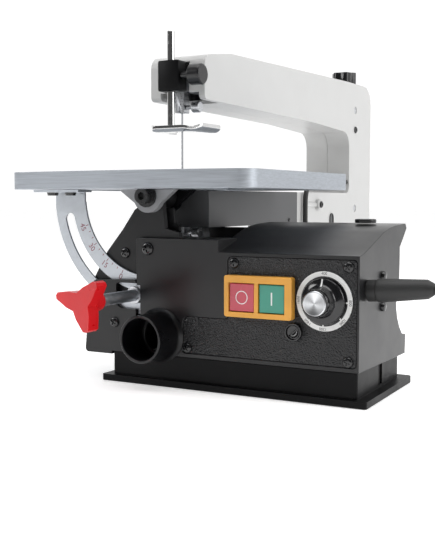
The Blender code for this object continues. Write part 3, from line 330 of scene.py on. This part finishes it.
def make_materials():
    """Every material of the saw, by a short key. Colours are linear."""
    add = MATERIALS.__setitem__
    add("housing", moulded("housing_black", (0.010, 0.010, 0.011), roughness=0.33, grain=0.9, relief=0.02,
                           specular=0.42))
    add("panel", pebbled("panel_black", (0.006, 0.006, 0.007), roughness=0.3, cell=1.6, relief=0.6))
    add("plastic", moulded("plastic_black", (0.007, 0.007, 0.008), roughness=0.24, grain=0.7,
                           relief=0.015))
    add("casting", moulded("casting_black", (0.003, 0.003, 0.0035), roughness=0.42, grain=2.2,
                           relief=0.05, spread=0.06, specular=0.14))
    add("bracket", moulded("bracket_black", (0.010, 0.010, 0.011), roughness=0.42, grain=2.2, relief=0.05,
                           spread=0.06, specular=0.35))
    add("cover", moulded("cover_grey", (0.050, 0.051, 0.054), roughness=0.38, grain=0.9, relief=0.02))
    add("gloss", moulded("gloss_black", (0.006, 0.006, 0.007), roughness=0.14, grain=0.9, relief=0.006,
                         spread=0.04, coat=0.3))
    add("port", moulded("port_black", (0.004, 0.004, 0.005), roughness=0.3, grain=0.7, relief=0.015,
                        spread=0.04, specular=0.4))
    add("screw_black", moulded("screw_black", (0.008, 0.008, 0.009), roughness=0.16, grain=0.8,
                               relief=0.008, specular=0.6))
    add("rubber", moulded("rubber_black", (0.016, 0.016, 0.016), roughness=0.55, grain=0.6, relief=0.02))
    add("white", moulded("paint_white", (0.53, 0.53, 0.525), roughness=0.36, grain=2.6, relief=0.02,
                         spread=0.006))
    add("table", brushed("table_metal", (0.40, 0.425, 0.46), roughness=0.5, stretch=(45, 7, 0.8),
                         relief=0.04, spread=0.14, mottle=0.03))
    add("cast", moulded("cast_metal", (0.24, 0.245, 0.255), roughness=0.5, grain=1.4, relief=0.05,
                        spread=0.06))
    add("zinc", brushed("scale_zinc", (0.54, 0.565, 0.60), roughness=0.45, stretch=(5, 5, 5),
                        relief=0.004, spread=0.05, mottle=0.2))
    add("steel", brushed("steel", (0.52, 0.53, 0.55), roughness=0.3, stretch=(1.2, 14, 1.2), relief=0.01))
    add("blade", brushed("blade_steel", (0.36, 0.37, 0.39), roughness=0.35, stretch=(1, 1, 10),
                         relief=0.005))
    add("chrome", brushed("chrome", (0.66, 0.66, 0.66), roughness=0.07, stretch=(20, 4, 4), relief=0.002,
                          spread=0.03))
    add("black_steel", moulded("black_oxide", (0.016, 0.016, 0.017), roughness=0.3, grain=0.8,
                               relief=0.01))
    add("red", moulded("knob_red", (0.62, 0.010, 0.014), roughness=0.3, grain=1.0, relief=0.015,
                       spread=0.04, coat=0.2))
    add("amber", moulded("switch_amber", (0.72, 0.34, 0.045), roughness=0.34, grain=0.8, relief=0.01,
                         spread=0.03, coat=0.1))
    add("stop", moulded("stop_red", (0.50, 0.055, 0.085), roughness=0.28, grain=1.2, relief=0.008,
                        spread=0.03, coat=0.3))
    add("start", moulded("start_green", (0.035, 0.26, 0.185), roughness=0.28, grain=1.2, relief=0.008,
                         spread=0.03, coat=0.3))
    add("print", moulded("print_white", (0.80, 0.80, 0.79), roughness=0.45, grain=0.8, relief=0.004,
                         spread=0.01))
    add("ink", moulded("ink_black", (0.02, 0.02, 0.02), roughness=0.5, grain=0.8, relief=0.004,
                       spread=0.02))
    add("red_ink", moulded("ink_red", (0.20, 0.02, 0.04), roughness=0.5, grain=0.8, relief=0.004,
                           spread=0.02))
    add("board", moulded("board_green", (0.03, 0.2, 0.08), roughness=0.5, grain=1.5, relief=0.01,
                         spread=0.1))
    add("spun", spun("spun_aluminium", (0.72, 0.73, 0.75), 0.28, at(DIAL[0], 0, DIAL[1])))


# ---------------------------------------------------------------- shapes

def show(name, mesh, body, material, angle=35):
    """A piece of the saw, smooth but for edges sharper than angle, that moves with a body."""
    made = bpy.data.objects.new(name, mesh)
    bpy.context.scene.collection.objects.link(made)
    mesh.materials.clear()
    mesh.materials.append(MATERIALS[material])
    mesh.shade_smooth()
    mesh.set_sharp_from_angle(angle=math.radians(angle))
    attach(made, body)
    return made


def body_of(node):
    """The body that a CAD node rides on."""
    return frame["nodes"][node]["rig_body"]


def evaluated_mesh(target):
    """The mesh of an object with its modifiers, or of a curve or text."""
    graph = bpy.context.evaluated_depsgraph_get()
    return bpy.data.meshes.new_from_object(target.evaluated_get(graph))


def settle(target):
    """Turns the modifiers of a piece into its own mesh."""
    mesh = evaluated_mesh(target)
    target.modifiers.clear()
    target.data = mesh


EDGE_ANGLE = math.radians(32)
EDGE_SEGMENTS = 3
FLAT_ANGLE = math.radians(1)
MERGE = 0.004 * MM


def finished(node, material, width):
    """The CAD node again with its edges rounded by width millimetres."""
    source = frame["nodes"][node]
    work = bmesh.new()
    work.from_mesh(source.data)
    bmesh.ops.remove_doubles(work, verts=work.verts, dist=MERGE)
    bmesh.ops.dissolve_limit(work, angle_limit=FLAT_ANGLE, verts=work.verts, edges=work.edges,
                             use_dissolve_boundaries=False)
    mesh = bpy.data.meshes.new(node + "_finish")
    work.to_mesh(mesh)
    work.free()
    made = bpy.data.objects.new(node + "_finish", mesh)
    bpy.context.scene.collection.objects.link(made)
    made.data.shade_smooth()
    made.data.set_sharp_from_angle(angle=EDGE_ANGLE)
    if width > 0:
        change = made.modifiers.new("edges", "BEVEL")
        change.width = width * MM
        change.segments = EDGE_SEGMENTS
        change.limit_method = "ANGLE"
        change.angle_limit = EDGE_ANGLE
        change.use_clamp_overlap = True
        change.miter_outer = "MITER_ARC"
        even = made.modifiers.new("normals", "WEIGHTED_NORMAL")
        even.keep_sharp = True
        settle(made)
    made.data.materials.clear()
    made.data.materials.append(MATERIALS[material])
    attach(made, body_of(node))
    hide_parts(node)
    return made


TURNS = {
    "X": Matrix.Rotation(math.radians(90), 4, "Y"),
    "Y": Matrix.Rotation(math.radians(-90), 4, "X"),
    "-Y": Matrix.Rotation(math.radians(90), 4, "X"),
}


def turned_mesh(name, profile, place, turn, steps=72):
    """A lathe shape. The profile is (radius, height) in millimetres, closed if it starts off the axis."""
    work = bmesh.new()
    rings = []
    for k in range(steps):
        a = 2 * math.pi * k / steps
        rings.append([work.verts.new((r * math.cos(a), r * math.sin(a), h)) for r, h in profile])
    for k in range(steps):
        here, after = rings[k], rings[(k + 1) % steps]
        for i in range(len(profile) - 1):
            work.faces.new((here[i], after[i], after[i + 1], here[i + 1]))
    bmesh.ops.remove_doubles(work, verts=work.verts, dist=0.0005)
    bmesh.ops.recalc_face_normals(work, faces=work.faces)
    mesh = bpy.data.meshes.new(name)
    work.to_mesh(mesh)
    work.free()
    mesh.transform(Matrix.Translation(at(*place)) @ turn @ Matrix.Scale(MM, 4))
    return mesh


def arc(centre, radius, start, end, steps):
    """Points round part of a circle, from start to end in degrees."""
    out = []
    for k in range(steps + 1):
        a = math.radians(start + (end - start) * k / steps)
        out.append((centre[0] + radius * math.cos(a), centre[1] + radius * math.sin(a)))
    return out


def circle(centre, radius, steps=64):
    """Points round a whole circle, the first one not repeated."""
    return arc(centre, radius, 0, 360 * (steps - 1) / steps, steps - 1)


def rectangle(x0, x1, y0, y1):
    """The four corners of a rectangle."""
    return [(x0, y0), (x1, y0), (x1, y1), (x0, y1)]


def rounded(points, radii, steps=6):
    """The outline with each corner turned into an arc. radii is one number, or one for each corner."""
    if not isinstance(radii, (list, tuple)):
        radii = [radii] * len(points)
    out = []
    for i, radius in enumerate(radii):
        here = Vector(points[i])
        if radius <= 0:
            out.append(tuple(here))
            continue
        before = (Vector(points[i - 1]) - here).normalized()
        after = (Vector(points[(i + 1) % len(points)]) - here).normalized()
        half = before.angle(after) / 2
        reach = radius / math.tan(half)
        first = here + before * reach
        last = here + after * reach
        centre = here + (before + after).normalized() * radius / math.sin(half)
        a0 = math.atan2(*reversed(first - centre))
        turn = math.atan2(*reversed(last - centre)) - a0
        turn = (turn + math.pi) % (2 * math.pi) - math.pi
        for k in range(steps + 1):
            a = a0 + turn * k / steps
            out.append((centre.x + radius * math.cos(a), centre.y + radius * math.sin(a)))
    return out


FACINGS = {
    "front": Matrix(((1, 0, 0, 0), (0, 0, -1, 0), (0, 1, 0, 0), (0, 0, 0, 1))),
    "side": Matrix(((0, 0, 1, 0), (1, 0, 0, 0), (0, 1, 0, 0), (0, 0, 0, 1))),
    "flat": Matrix.Identity(4),
}
THICK_AXIS = {"front": 1, "side": 0, "flat": 2}


def plate_mesh(name, outlines, facing, low, high, edge=0.0):
    """A flat outline with any holes, from low to high along the axis it faces, its rims rounded by edge."""
    curve = bpy.data.curves.new(name, "CURVE")
    curve.dimensions = "2D"
    curve.fill_mode = "BOTH"
    curve.extrude = (high - low) / 2 - edge
    curve.bevel_depth = edge
    curve.bevel_resolution = 3
    curve.offset = -edge
    for outline in outlines:
        spline = curve.splines.new("POLY")
        spline.points.add(len(outline) - 1)
        for point, (a, b) in zip(spline.points, outline):
            point.co = (a, b, 0, 1)
        spline.use_cyclic_u = True
    guide = bpy.data.objects.new(name + "_guide", curve)
    bpy.context.scene.collection.objects.link(guide)
    mesh = evaluated_mesh(guide)
    bpy.data.objects.remove(guide, do_unlink=True)
    work = bmesh.new()
    work.from_mesh(mesh)
    bmesh.ops.remove_doubles(work, verts=work.verts, dist=0.002)
    bmesh.ops.recalc_face_normals(work, faces=work.faces)
    work.to_mesh(mesh)
    work.free()
    shift = Vector((0, 0, 0))
    shift[THICK_AXIS[facing]] = (high + low) / 2
    place = Matrix.Translation(ORIGIN) @ Matrix.Scale(MM, 4) @ Matrix.Translation(shift) @ FACINGS[facing]
    mesh.transform(place)
    return mesh


def text_piece(name, words, place, turn, height, body, material):
    """Generic figures, raised a hair from the surface that they are printed on."""
    curve = bpy.data.curves.new(name, "FONT")
    curve.body = words
    curve.size = height * MM
    curve.extrude = 0.02 * MM
    curve.align_x = "CENTER"
    curve.align_y = "CENTER"
    made = bpy.data.objects.new(name, curve)
    bpy.context.scene.collection.objects.link(made)
    made.matrix_world = Matrix.Translation(at(*place)) @ turn
    mesh = evaluated_mesh(made)
    mesh.transform(made.matrix_basis)
    bpy.data.objects.remove(made, do_unlink=True)
    return show(name, mesh, body, material)


# ---------------------------------------------------------------- mains lead

def smooth_route(points, spacing):
    """A smooth curve through the points, with a place about every spacing millimetres."""
    given = [Vector(p) for p in points]
    ends = [given[0] * 2 - given[1], *given, given[-1] * 2 - given[-2]]
    fine = []
    for before, start, end, after in zip(ends, ends[1:], ends[2:], ends[3:]):
        for k in range(24):
            t = k / 24
            fine.append(0.5 * (2 * start + (end - before) * t
                               + (2 * before - 5 * start + 4 * end - after) * t ** 2
                               + (3 * start - before - 3 * end + after) * t ** 3))
    fine.append(given[-1])
    out = [fine[0]]
    for point in fine[1:]:
        if (point - out[-1]).length >= spacing:
            out.append(point)
    if (fine[-1] - out[-1]).length < spacing / 2:
        out.pop()
    out.append(fine[-1])
    return out


BOOT_ROOT = Vector((138.3, 26.0, 106.0))
BOOT_LENGTH = 64.0
BOOT_RISE = math.radians(4)
LIE = CORD_DIAMETER / 2 + 0.1
CORD_BEND = 32.0
BEND_AFTER = 12.0
PLUG_HEIGHT = 12.2
PLUG_OUT = 12.6
PLUG_TURN = math.radians(8)
STEP = 4.0


def boot_tip(extra=0.0):
    """The end of the boot, or a point extra millimetres past it."""
    return BOOT_ROOT + Vector((math.cos(BOOT_RISE), 0, math.sin(BOOT_RISE))) * (BOOT_LENGTH + extra)


def eased(keys, value):
    """The value between the keys, easing in and out of each."""
    for (a, first), (b, second) in zip(keys, keys[1:]):
        if value <= b:
            t = (value - a) / (b - a)
            t = t * t * (3 - 2 * t)
            return first + (second - first) * t
    return keys[-1][1]


def coil_line():
    """Three turns inwards on the ground, a climb, and two turns and a quarter back outwards on top."""
    inner = COIL_MID_RADIUS - COIL_PITCH
    outer = COIL_MID_RADIUS + COIL_PITCH
    middle = COIL_MID_RADIUS
    touch = COIL_MID_RADIUS + 1.5 * CORD_DIAMETER + CORD_DIAMETER / 2 + 0.9
    top = LIE + CORD_DIAMETER + 0.1
    radii = [(0, touch), (60, outer), (360, outer), (420, middle), (720, middle), (780, inner), (1320, inner),
             (1380, middle), (1680, middle), (1740, outer), (1890, outer)]
    heights = [(0, LIE), (1015, LIE), (1080, top), (1890, top)]
    out = []
    for angle in range(0, 1891, 6):
        a = math.radians(angle - 90)
        r = eased(radii, angle)
        out.append(Vector((COIL_CENTRE[0] + r * math.cos(a), COIL_CENTRE[1] + r * math.sin(a),
                           eased(heights, angle))))
    return out


def lead_line():
    """Out of the boot, down in an easy bend, along the ground, round the coil and off to the plug."""
    cx, cy = COIL_CENTRE
    y = BOOT_ROOT.y
    start = boot_tip(BEND_AFTER)
    upper = (start.x + CORD_BEND * math.sin(BOOT_RISE), start.z - CORD_BEND * math.cos(BOOT_RISE))
    lower = (upper[0] + 2 * CORD_BEND, LIE + CORD_BEND)
    bends = arc(upper, CORD_BEND, 90 + math.degrees(BOOT_RISE), 0, 6) + arc(lower, CORD_BEND, 180, 270, 6)
    route = [boot_tip(GAP), *(Vector((x, y, z)) for x, z in bends), Vector((cx, y, LIE))]
    coil = coil_line()
    start = coil[-1]
    end = Vector((cx + COIL_MID_RADIUS + PLUG_OUT, cy + TAIL_LENGTH, PLUG_HEIGHT))
    back = Vector((math.sin(PLUG_TURN), math.cos(PLUG_TURN), 0))
    tail = [start, start + Vector((0.3, 16, -1.2)), start + Vector((0.6, 34, -5.6)),
            end - back * 26 - Vector((0, 0, 5)), end - back * 10 - Vector((0, 0, 0.8)), end - back * GAP]
    return smooth_route(route, STEP)[:-1] + coil + smooth_route(tail, STEP)[1:]


def tube_piece(name, line, diameter, body, material):
    """A round tube along the line, with closed ends."""
    curve = bpy.data.curves.new(name, "CURVE")
    curve.dimensions = "3D"
    curve.bevel_depth = diameter / 2 * MM
    curve.bevel_resolution = 6
    curve.use_fill_caps = True
    spline = curve.splines.new("POLY")
    spline.points.add(len(line) - 1)
    for point, place in zip(spline.points, line):
        point.co = (*at(*place), 1)
    spline.use_smooth = True
    curve.materials.append(MATERIALS[material])
    made = bpy.data.objects.new(name, curve)
    bpy.context.scene.collection.objects.link(made)
    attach(made, body)
    return made


def make_lead():
    """The mains lead with its plug."""
    line = lead_line()
    lead = tube_piece("mains_lead", line, CORD_DIAMETER, "frame", "rubber")
    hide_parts("cord", "cord_coil")
    plug = finished("plug", "rubber", 1.2)


# ---------------------------------------------------------------- the saw's own pieces, with rounded edges

# Each node that keeps its shape: its name, its material and its edges' width in millimetres.
FINISHES = [
    ("base", "casting", 1.2), ("housing", "housing", 1.6), ("housing_cap", "plastic", 0.6),
    ("control_panel", "panel", 0.35), ("switch_frame", "amber", 0.5), ("dial_scale", "print", 0.0),
    ("trunnion_bracket", "bracket", 0.9), ("clamp_plate", "housing", 0.9),
    ("scale_quadrant", "zinc", 0.25), ("quadrant_screw_1", "screw_black", 0.4),
    ("quadrant_screw_2", "screw_black", 0.4), ("pivot_lug_front", "cast", 0.7),
    ("pivot_lug_rear", "casting", 0.7), ("pivot_bolt", "black_steel", 0.5), ("clamp_knob", "red", 1.3),
    ("clamp_bolt", "steel", 0.5), ("clamp_spacer", "zinc", 0.4), ("clamp_washer", "steel", 0.3),
    ("table", "table", 0.9), ("table_insert", "plastic", 0.3), ("frame_left", "white", 2.2),
    ("frame_right", "white", 2.2), ("lower_pivot_pin", "steel", 0.5), ("upper_pivot_pin", "steel", 0.5),
    ("lower_arm_cover", "cover", 0.5), ("lower_arm", "cast", 1.0), ("upper_arm", "cast", 1.0),
    ("blade", "blade", 0.0), ("upper_blade_clamp", "steel", 0.0), ("lower_blade_clamp", "steel", 0.0),
    ("upper_thumbscrew", "steel", 0.3), ("lower_thumbscrew", "steel", 0.3), ("tension_rod", "steel", 0.4),
    ("tension_knob", "plastic", 0.0), ("hold_down_guide", "casting", 0.0),
    ("hold_down_rod", "chrome", 0.5), ("hold_down_knob", "plastic", 0.5), ("motor", "steel", 0.5),
    ("crank_shaft", "steel", 0.4), ("drive_link", "cast", 0.4), ("circuit_board", "board", 0.0),
    ("blower_bellows", "rubber", 0.2), ("stop_button", "stop", 0.4), ("start_button", "start", 0.4),
    ("cord_boot", "rubber", 0.5),
]


def finish_nodes():
    """Gives each node in the list its rounded edges and its material."""
    for node, material, width in FINISHES:
        finished(node, material, width)


def cross_mesh(radius, width, low, high):
    """A cross of two bars, standing up from low to high."""
    half = width / 2
    outline = [(radius, -half), (radius, half), (half, half), (half, radius), (-half, radius),
               (-half, half), (-radius, half), (-radius, -half), (-half, -half), (-half, -radius),
               (half, -radius), (half, -half)]
    work = bmesh.new()
    face = work.faces.new([work.verts.new((x, y, low)) for x, y in outline])
    raised = bmesh.ops.extrude_face_region(work, geom=[face])
    for vertex in (v for v in raised["geom"] if isinstance(v, bmesh.types.BMVert)):
        vertex.co.z = high
    bmesh.ops.recalc_face_normals(work, faces=work.faces)
    mesh = bpy.data.meshes.new("cross")
    work.to_mesh(mesh)
    work.free()
    return mesh


def carve(target, cutter_mesh):
    """Cuts a mesh out of a piece for good."""
    cutter = bpy.data.objects.new("cutter", cutter_mesh)
    bpy.context.scene.collection.objects.link(cutter)
    change = target.modifiers.new("cut", "BOOLEAN")
    change.operation = "DIFFERENCE"
    change.solver = "EXACT"
    change.object = cutter
    settle(target)
    bpy.data.objects.remove(cutter, do_unlink=True)


def screw_head(name, place, radius, height, turn, angle, body, node=None):
    """A black pan head with a cross recess. Angle is how far the cross is turned."""
    profile = [(0, height), (radius * 0.45, height * 0.97), (radius * 0.7, height * 0.86),
               (radius * 0.88, height * 0.62), (radius * 0.98, height * 0.25), (radius, 0), (0, 0)]
    head = show(name, turned_mesh(name, profile, place, TURNS[turn], 48), body, "screw_black", angle=50)
    cross = cross_mesh(radius * 0.56, radius * 0.24, height * 0.45, height * 1.6)
    turned = TURNS[turn] @ Matrix.Rotation(math.radians(angle), 4, "Z")
    cross.transform(Matrix.Translation(at(*place)) @ turned @ Matrix.Scale(MM, 4))
    carve(head, cross)
    if node:
        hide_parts(node)
    return head


def front_seat(node):
    """Where a front-facing screw sits, in the saw's millimetres: the middle of its box, at the back."""
    low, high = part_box(node)
    middle = ((low + high) / 2 - ORIGIN) / MM
    return middle.x, (high.y - ORIGIN.y) / MM, middle.z


def make_screws():
    """The five screws that the CAD has as nodes, and those that it doesn't have."""
    for i, angle in enumerate((12, 40, 74, 28)):
        node = f"panel_screw_{i + 1}"
        screw_head(node + "_head", front_seat(node), 5.2, 2.4, "-Y", angle, body_of(node), node)
    screw_head("housing_screw_head", front_seat("housing_screw"), 6.9, 3.0, "-Y", 20, "frame",
               "housing_screw")
    screw_head("bracket_screw", (-124, 11.7, 134.7), 5.8, 2.6, "-Y", 33, "frame")
    screw_head("clamp_plate_screw", (-133, 3.7, 62), 5.6, 2.6, "-Y", 62, "frame")
    screw_head("cover_screw", (-49.9, 258, 165.6), 2.6, 1.2, "X", 10, "frame")
    screw_head("column_screw", (-51.5, 362, 184), 4.6, 2.4, "X", 25, "frame")
    for y, z in ((500, 292), (500, 96)):
        screw_head(f"column_bolt_{z}", (-56.9, y, z), 5.0, 2.4, "X", 50, "frame")


def make_side_plugs():
    """The two round bosses behind the boot that hold its clamp."""
    profile = [(0, 3.4), (2.6, 3.4), (3.9, 2.9), (4.5, 1.8), (4.7, 0), (0, 0)]
    for name, z in (("side_boss_upper", 116.9), ("side_boss_lower", 87.1)):
        boss = turned_mesh(name, profile, (138.2, 67.5, z), TURNS["X"], 40)
        show(name, boss, "frame", "screw_black")


FOOT_MIDDLE = -92
FOOT_FLAT = 20
FOOT_FRONT = 56
SWEEP_LENGTH = 12
SIDE_SWEEP = 5.2
FRONT_SWEEP = 2.4


def make_foot():
    """The chrome foot: a pressed fork with a deep rim whose front and ends sweep up."""
    corners = [(-124, 62), (-111, 44), (-71, 44), (-60, 62), (-60, 104), (-68, 104), (-70, 78), (-84, 66),
               (-90.2, 66), (-90.2, 60), (-91.8, 60), (-91.8, 66), (-98, 66), (-113, 78), (-116, 104),
               (-124, 104)]
    outline = rounded(corners, [6, 6, 6, 6, 3.5, 3.5, 8, 6, 0, 0, 0, 0, 6, 8, 3.5, 3.5])
    low, high = ((corner.z - ORIGIN.z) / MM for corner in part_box("hold_down_foot"))
    mesh = plate_mesh("foot_plate", [outline], "flat", low, high, 0.7)
    work = bmesh.new()
    work.from_mesh(mesh)
    for x in range(-122, -60, 3):
        bmesh.ops.bisect_plane(work, geom=[*work.verts, *work.edges, *work.faces], plane_co=at(x, 0, 0),
                               plane_no=(1, 0, 0))
    for y in range(46, 104, 4):
        bmesh.ops.bisect_plane(work, geom=[*work.verts, *work.edges, *work.faces], plane_co=at(0, y, 0),
                               plane_no=(0, 1, 0))
    for vertex in work.verts:
        place = (vertex.co - ORIGIN) / MM
        side = max(0.0, abs(place.x - FOOT_MIDDLE) - FOOT_FLAT) / SWEEP_LENGTH
        front = max(0.0, FOOT_FRONT - place.y) / SWEEP_LENGTH
        vertex.co.z += (SIDE_SWEEP * side ** 2 + FRONT_SWEEP * front ** 2) * MM
    work.to_mesh(mesh)
    work.free()
    foot = show("foot_fork", mesh, "hold_down", "chrome", angle=40)
    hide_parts("hold_down_foot")


def make_bracket_web():
    """The web that joins the bracket to the housing's back, beside the arm cover."""
    outline = rounded([(-112, 150), (-70, 150), (-66, 158), (-66, 163), (-72, 166), (-73.5, 182), (-84, 182),
                       (-112, 170)], 1.5)
    show("bracket_web", plate_mesh("bracket_web", [outline], "front", 26, 30, 0.5), "frame", "bracket")


def make_port():
    """The dust port: a thin tube with a flared root."""
    rim = [(21.2, 0), (21.2, 36.9), (21.8, 37.5), (23.4, 37.5), (24, 36.9), (24, 6), (24.9, 3.6), (26.5, 1.9),
           (28, 0.6), (28, 0), (21.2, 0)]
    mesh = turned_mesh("dust_port_turned", rim, front_seat("dust_port"), TURNS["-Y"], 96)
    port = show("dust_port_turned", mesh, body_of("dust_port"), "port", angle=40)
    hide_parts("dust_port")


def make_knob():
    """The speed knob: a flared skirt and a spun metal cap."""
    seat = (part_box("speed_knob")[1].y - ORIGIN.y) / MM
    skirt = [(0, 22), (11.6, 22), (12.2, 21.8), (12.6, 21.2), (13.1, 16), (14, 8.4), (15.0, 6.7), (17, 5.5),
             (19.4, 4.8), (21.0, 4.3), (21.5, 3.6), (21.6, 2.8), (21.6, 0), (0, 0)]
    mesh = turned_mesh("speed_knob_turned", skirt, (DIAL[0], seat, DIAL[1]), TURNS["-Y"], 96)
    knob = show("speed_knob_turned", mesh, "speed_dial", "gloss", angle=30)
    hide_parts("speed_knob")
    back = (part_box("knob_cap")[1].y - ORIGIN.y) / MM
    dish = [(0, 0.55), (9.9, 0.75), (10.5, 0.9), (11.1, 0.75), (11.5, 0.3), (11.5, 0), (0, 0)]
    mesh = turned_mesh("knob_cap_turned", dish, (DIAL[0], back, DIAL[1]), TURNS["-Y"], 96)
    cap = show("knob_cap_turned", mesh, "speed_dial", "spun", angle=25)
    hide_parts("knob_cap")


def make_fuse():
    """The fuse cap: a raised ring round a disc with a coin slot."""
    seat = front_seat("fuse_cap")
    profile = [(0, 2.9), (6.1, 2.9), (6.4, 2.6), (6.4, 1.7), (6.9, 1.7), (6.9, 3.6), (7.3, 4.2), (8.1, 4.2),
               (8.6, 3.6), (8.6, 0), (0, 0)]
    mesh = turned_mesh("fuse_cap_turned", profile, seat, TURNS["-Y"], 72)
    cap = show("fuse_cap_turned", mesh, "fuse", "gloss", angle=40)
    bar = plate_mesh("coin_slot", [rounded(rectangle(-5.3, 5.3, -0.8, 0.8), 0.4)], "flat", 1.7, 6.0)
    bar.transform(Matrix.Translation(-ORIGIN))
    bar.transform(Matrix.Translation(at(*seat)) @ TURNS["-Y"] @ Matrix.Rotation(math.radians(42), 4, "Z"))
    carve(cap, bar)
    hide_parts("fuse_cap")


def make_column_details():
    """On the right of the frame: a rib and boss round the screw, and a vent with an arched top."""
    rib = turned_mesh("column_rib", [(0, 44), (3.2, 44), (3.4, 43.4), (3.4, 0), (0, 0)], (-57.6, 318, 184),
                      TURNS["Y"], 40)
    show("column_rib", rib, "frame", "white")
    boss = turned_mesh("column_boss", [(0, 5.2), (6.0, 5.2), (7.2, 4.2), (7.6, 0), (0, 0)], (-57.0, 362, 184),
                       TURNS["X"], 48)
    show("column_boss", boss, "frame", "white")
    arch = [(404.5, 152), (417.5, 152)] + arc((411, 165.5), 6.5, 0, 180, 14)
    inner = [(406.2, 152.4), (415.8, 152.4)] + arc((411, 165.5), 4.8, 0, 180, 14)
    show("vent_rim", plate_mesh("vent_rim", [arch, inner], "side", -57.0, -55.6, 0.3), "frame", "plastic")
    show("vent_grille", plate_mesh("vent_grille", [inner], "side", -57.0, -56.5, 0.0), "frame", "cover")


def front_turn(angle):
    """Turns something drawn flat to face the front, and then clockwise by angle degrees."""
    return Matrix.Rotation(math.radians(angle), 4, "Y") @ Matrix.Rotation(math.radians(90), 4, "X")


def bar_points(centre, angle, inner, outer, width):
    """A short bar on a dial, clockwise by angle from its top, between two radii."""
    a = math.radians(angle)
    out = Vector((math.sin(a), math.cos(a)))
    side = Vector((out.y, -out.x)) * width / 2
    start = Vector(centre) + out * inner
    end = Vector(centre) + out * outer
    return [tuple(start - side), tuple(start + side), tuple(end + side), tuple(end - side)]


# ---------------------------------------------------------------- switch, dial and scale

BUTTON_FACE = -1.7


def make_switch_marks():
    """A ring on the stop button and a bar on the start button."""
    ring_centre = (20.7, 96.2)
    face = BUTTON_FACE
    ring = plate_mesh("stop_mark", [circle(ring_centre, 6.5, 64), circle(ring_centre, 5.7, 64)], "front",
                      face - 0.08, face + 0.02)
    show("stop_mark", ring, "stop_push", "print")
    bar = plate_mesh("start_mark", [rounded(rectangle(52.0, 53.4, 90.0, 102.4), 0.3)], "front", face - 0.08,
                     face + 0.02)
    show("start_mark", bar, "start_push", "print")


DIAL_FACE = 4.3
DIAL_FIGURE_RADIUS = 25.9


def make_dial_marks():
    """The dial: a dark disc, and ticks and figures round it on the white ring."""
    face = DIAL_FACE
    dark = plate_mesh("dial_dark", [circle(DIAL, 23.4, 96), circle(DIAL, 6.5, 48)], "front", face - 0.1,
                      face + 0.02)
    show("dial_dark", dark, "frame", "plastic")
    for angle, words in ((0, "400"), (91, "800"), (134, "1000"), (182, "1200"), (219, "1400"), (270, "1600")):
        if angle:
            tick = plate_mesh("dial_tick", [bar_points(DIAL, angle, 21.9, 23.9, 1.5)], "front", face - 0.14,
                              face + 0.02)
            show(f"dial_tick_{words}", tick, "frame", "print")
        a = math.radians(angle)
        place = (DIAL[0] + DIAL_FIGURE_RADIUS * math.sin(a), face - 0.02,
                 DIAL[1] + DIAL_FIGURE_RADIUS * math.cos(a))
        text_piece(f"dial_figure_{words}", words, place, front_turn(angle), 3.8, "frame", "ink")


def make_pointer():
    """The white line down the skirt of the speed knob."""
    line = ((21.0, -0.45), (17.0, -1.55), (14.0, -4.05))
    work = bmesh.new()
    rows = [[work.verts.new(at(DIAL[0] + side * 0.75, y - 0.06, DIAL[1] + r)) for side in (-1, 1)]
            for r, y in line]
    for a, b in zip(rows, rows[1:]):
        work.faces.new((a[0], a[1], b[1], b[0]))
    made = bmesh.ops.extrude_face_region(work, geom=list(work.faces))
    for vertex in (v for v in made["geom"] if isinstance(v, bmesh.types.BMVert)):
        vertex.co.y += 0.3 * MM
    bmesh.ops.recalc_face_normals(work, faces=work.faces)
    mesh = bpy.data.meshes.new("knob_pointer")
    work.to_mesh(mesh)
    work.free()
    show("knob_pointer", mesh, "speed_dial", "print")


SCALE_ZERO = 24.0
SCALE_FACE = 8.9
TICK_INNER = 84.4
TICK_OUTER = 87.0
LONG_TICK_OUTER = 88.2
FIGURE_RADIUS = 92.3


def make_scale_marks():
    """The bevel scale: a tick every 5 degrees, and a long one with a figure every 15."""
    face = SCALE_FACE
    axis = (BLADE_X, TILT_Z)
    for degrees in range(0, 50, 5):
        angle = SCALE_ZERO + degrees + 180
        outer = LONG_TICK_OUTER if degrees % 15 == 0 else TICK_OUTER
        tick = plate_mesh("scale_tick", [bar_points(axis, angle, TICK_INNER, outer, 0.7)], "front",
                          face - 0.05, face + 0.02)
        show(f"scale_tick_{degrees}", tick, "table_assembly", "red_ink")
        if degrees % 15 == 0:
            a = math.radians(SCALE_ZERO + degrees)
            place = (axis[0] - FIGURE_RADIUS * math.sin(a), face - 0.02,
                     axis[1] - FIGURE_RADIUS * math.cos(a))
            text_piece(f"scale_figure_{degrees}", str(degrees), place, front_turn(SCALE_ZERO + degrees), 8.6,
                       "table_assembly", "red_ink")


# ---------------------------------------------------------------- air hose

HOSE_DIAMETER = 6.4
HOSE_STEP = 5.0


def make_air_hose():
    """The limp black hose: out of the frame's side, up behind the table and back into the column."""
    route = [(-73.2, 312, 130), (-68.5, 312, 130.2), (-61, 312, 132.6), (-54.2, 312, 138.5),
             (-52.2, 312, 147.5), (-52.2, 312, 165), (-52.2, 312, 183), (-52.2, 312.6, 194),
             (-52.2, 317, 204), (-52.8, 326, 210.5), (-53.4, 342, 213), (-57, 400, 214.5),
             (-61, 440, 216), (-62, 462, 216), (-62, 476.4, 216)]
    line = smooth_route(route, HOSE_STEP)
    hose = tube_piece("air_hose", line, HOSE_DIAMETER, "frame", "rubber")
    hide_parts("blower_hose")


# ---------------------------------------------------------------- start

make_camera()
make_materials()
make_studio()
make_lead()
make_air_hose()
finish_nodes()
make_screws()
make_side_plugs()
make_foot()
make_bracket_web()
make_port()
make_knob()
make_fuse()
make_column_details()
make_switch_marks()
make_dial_marks()
make_pointer()
make_scale_marks()
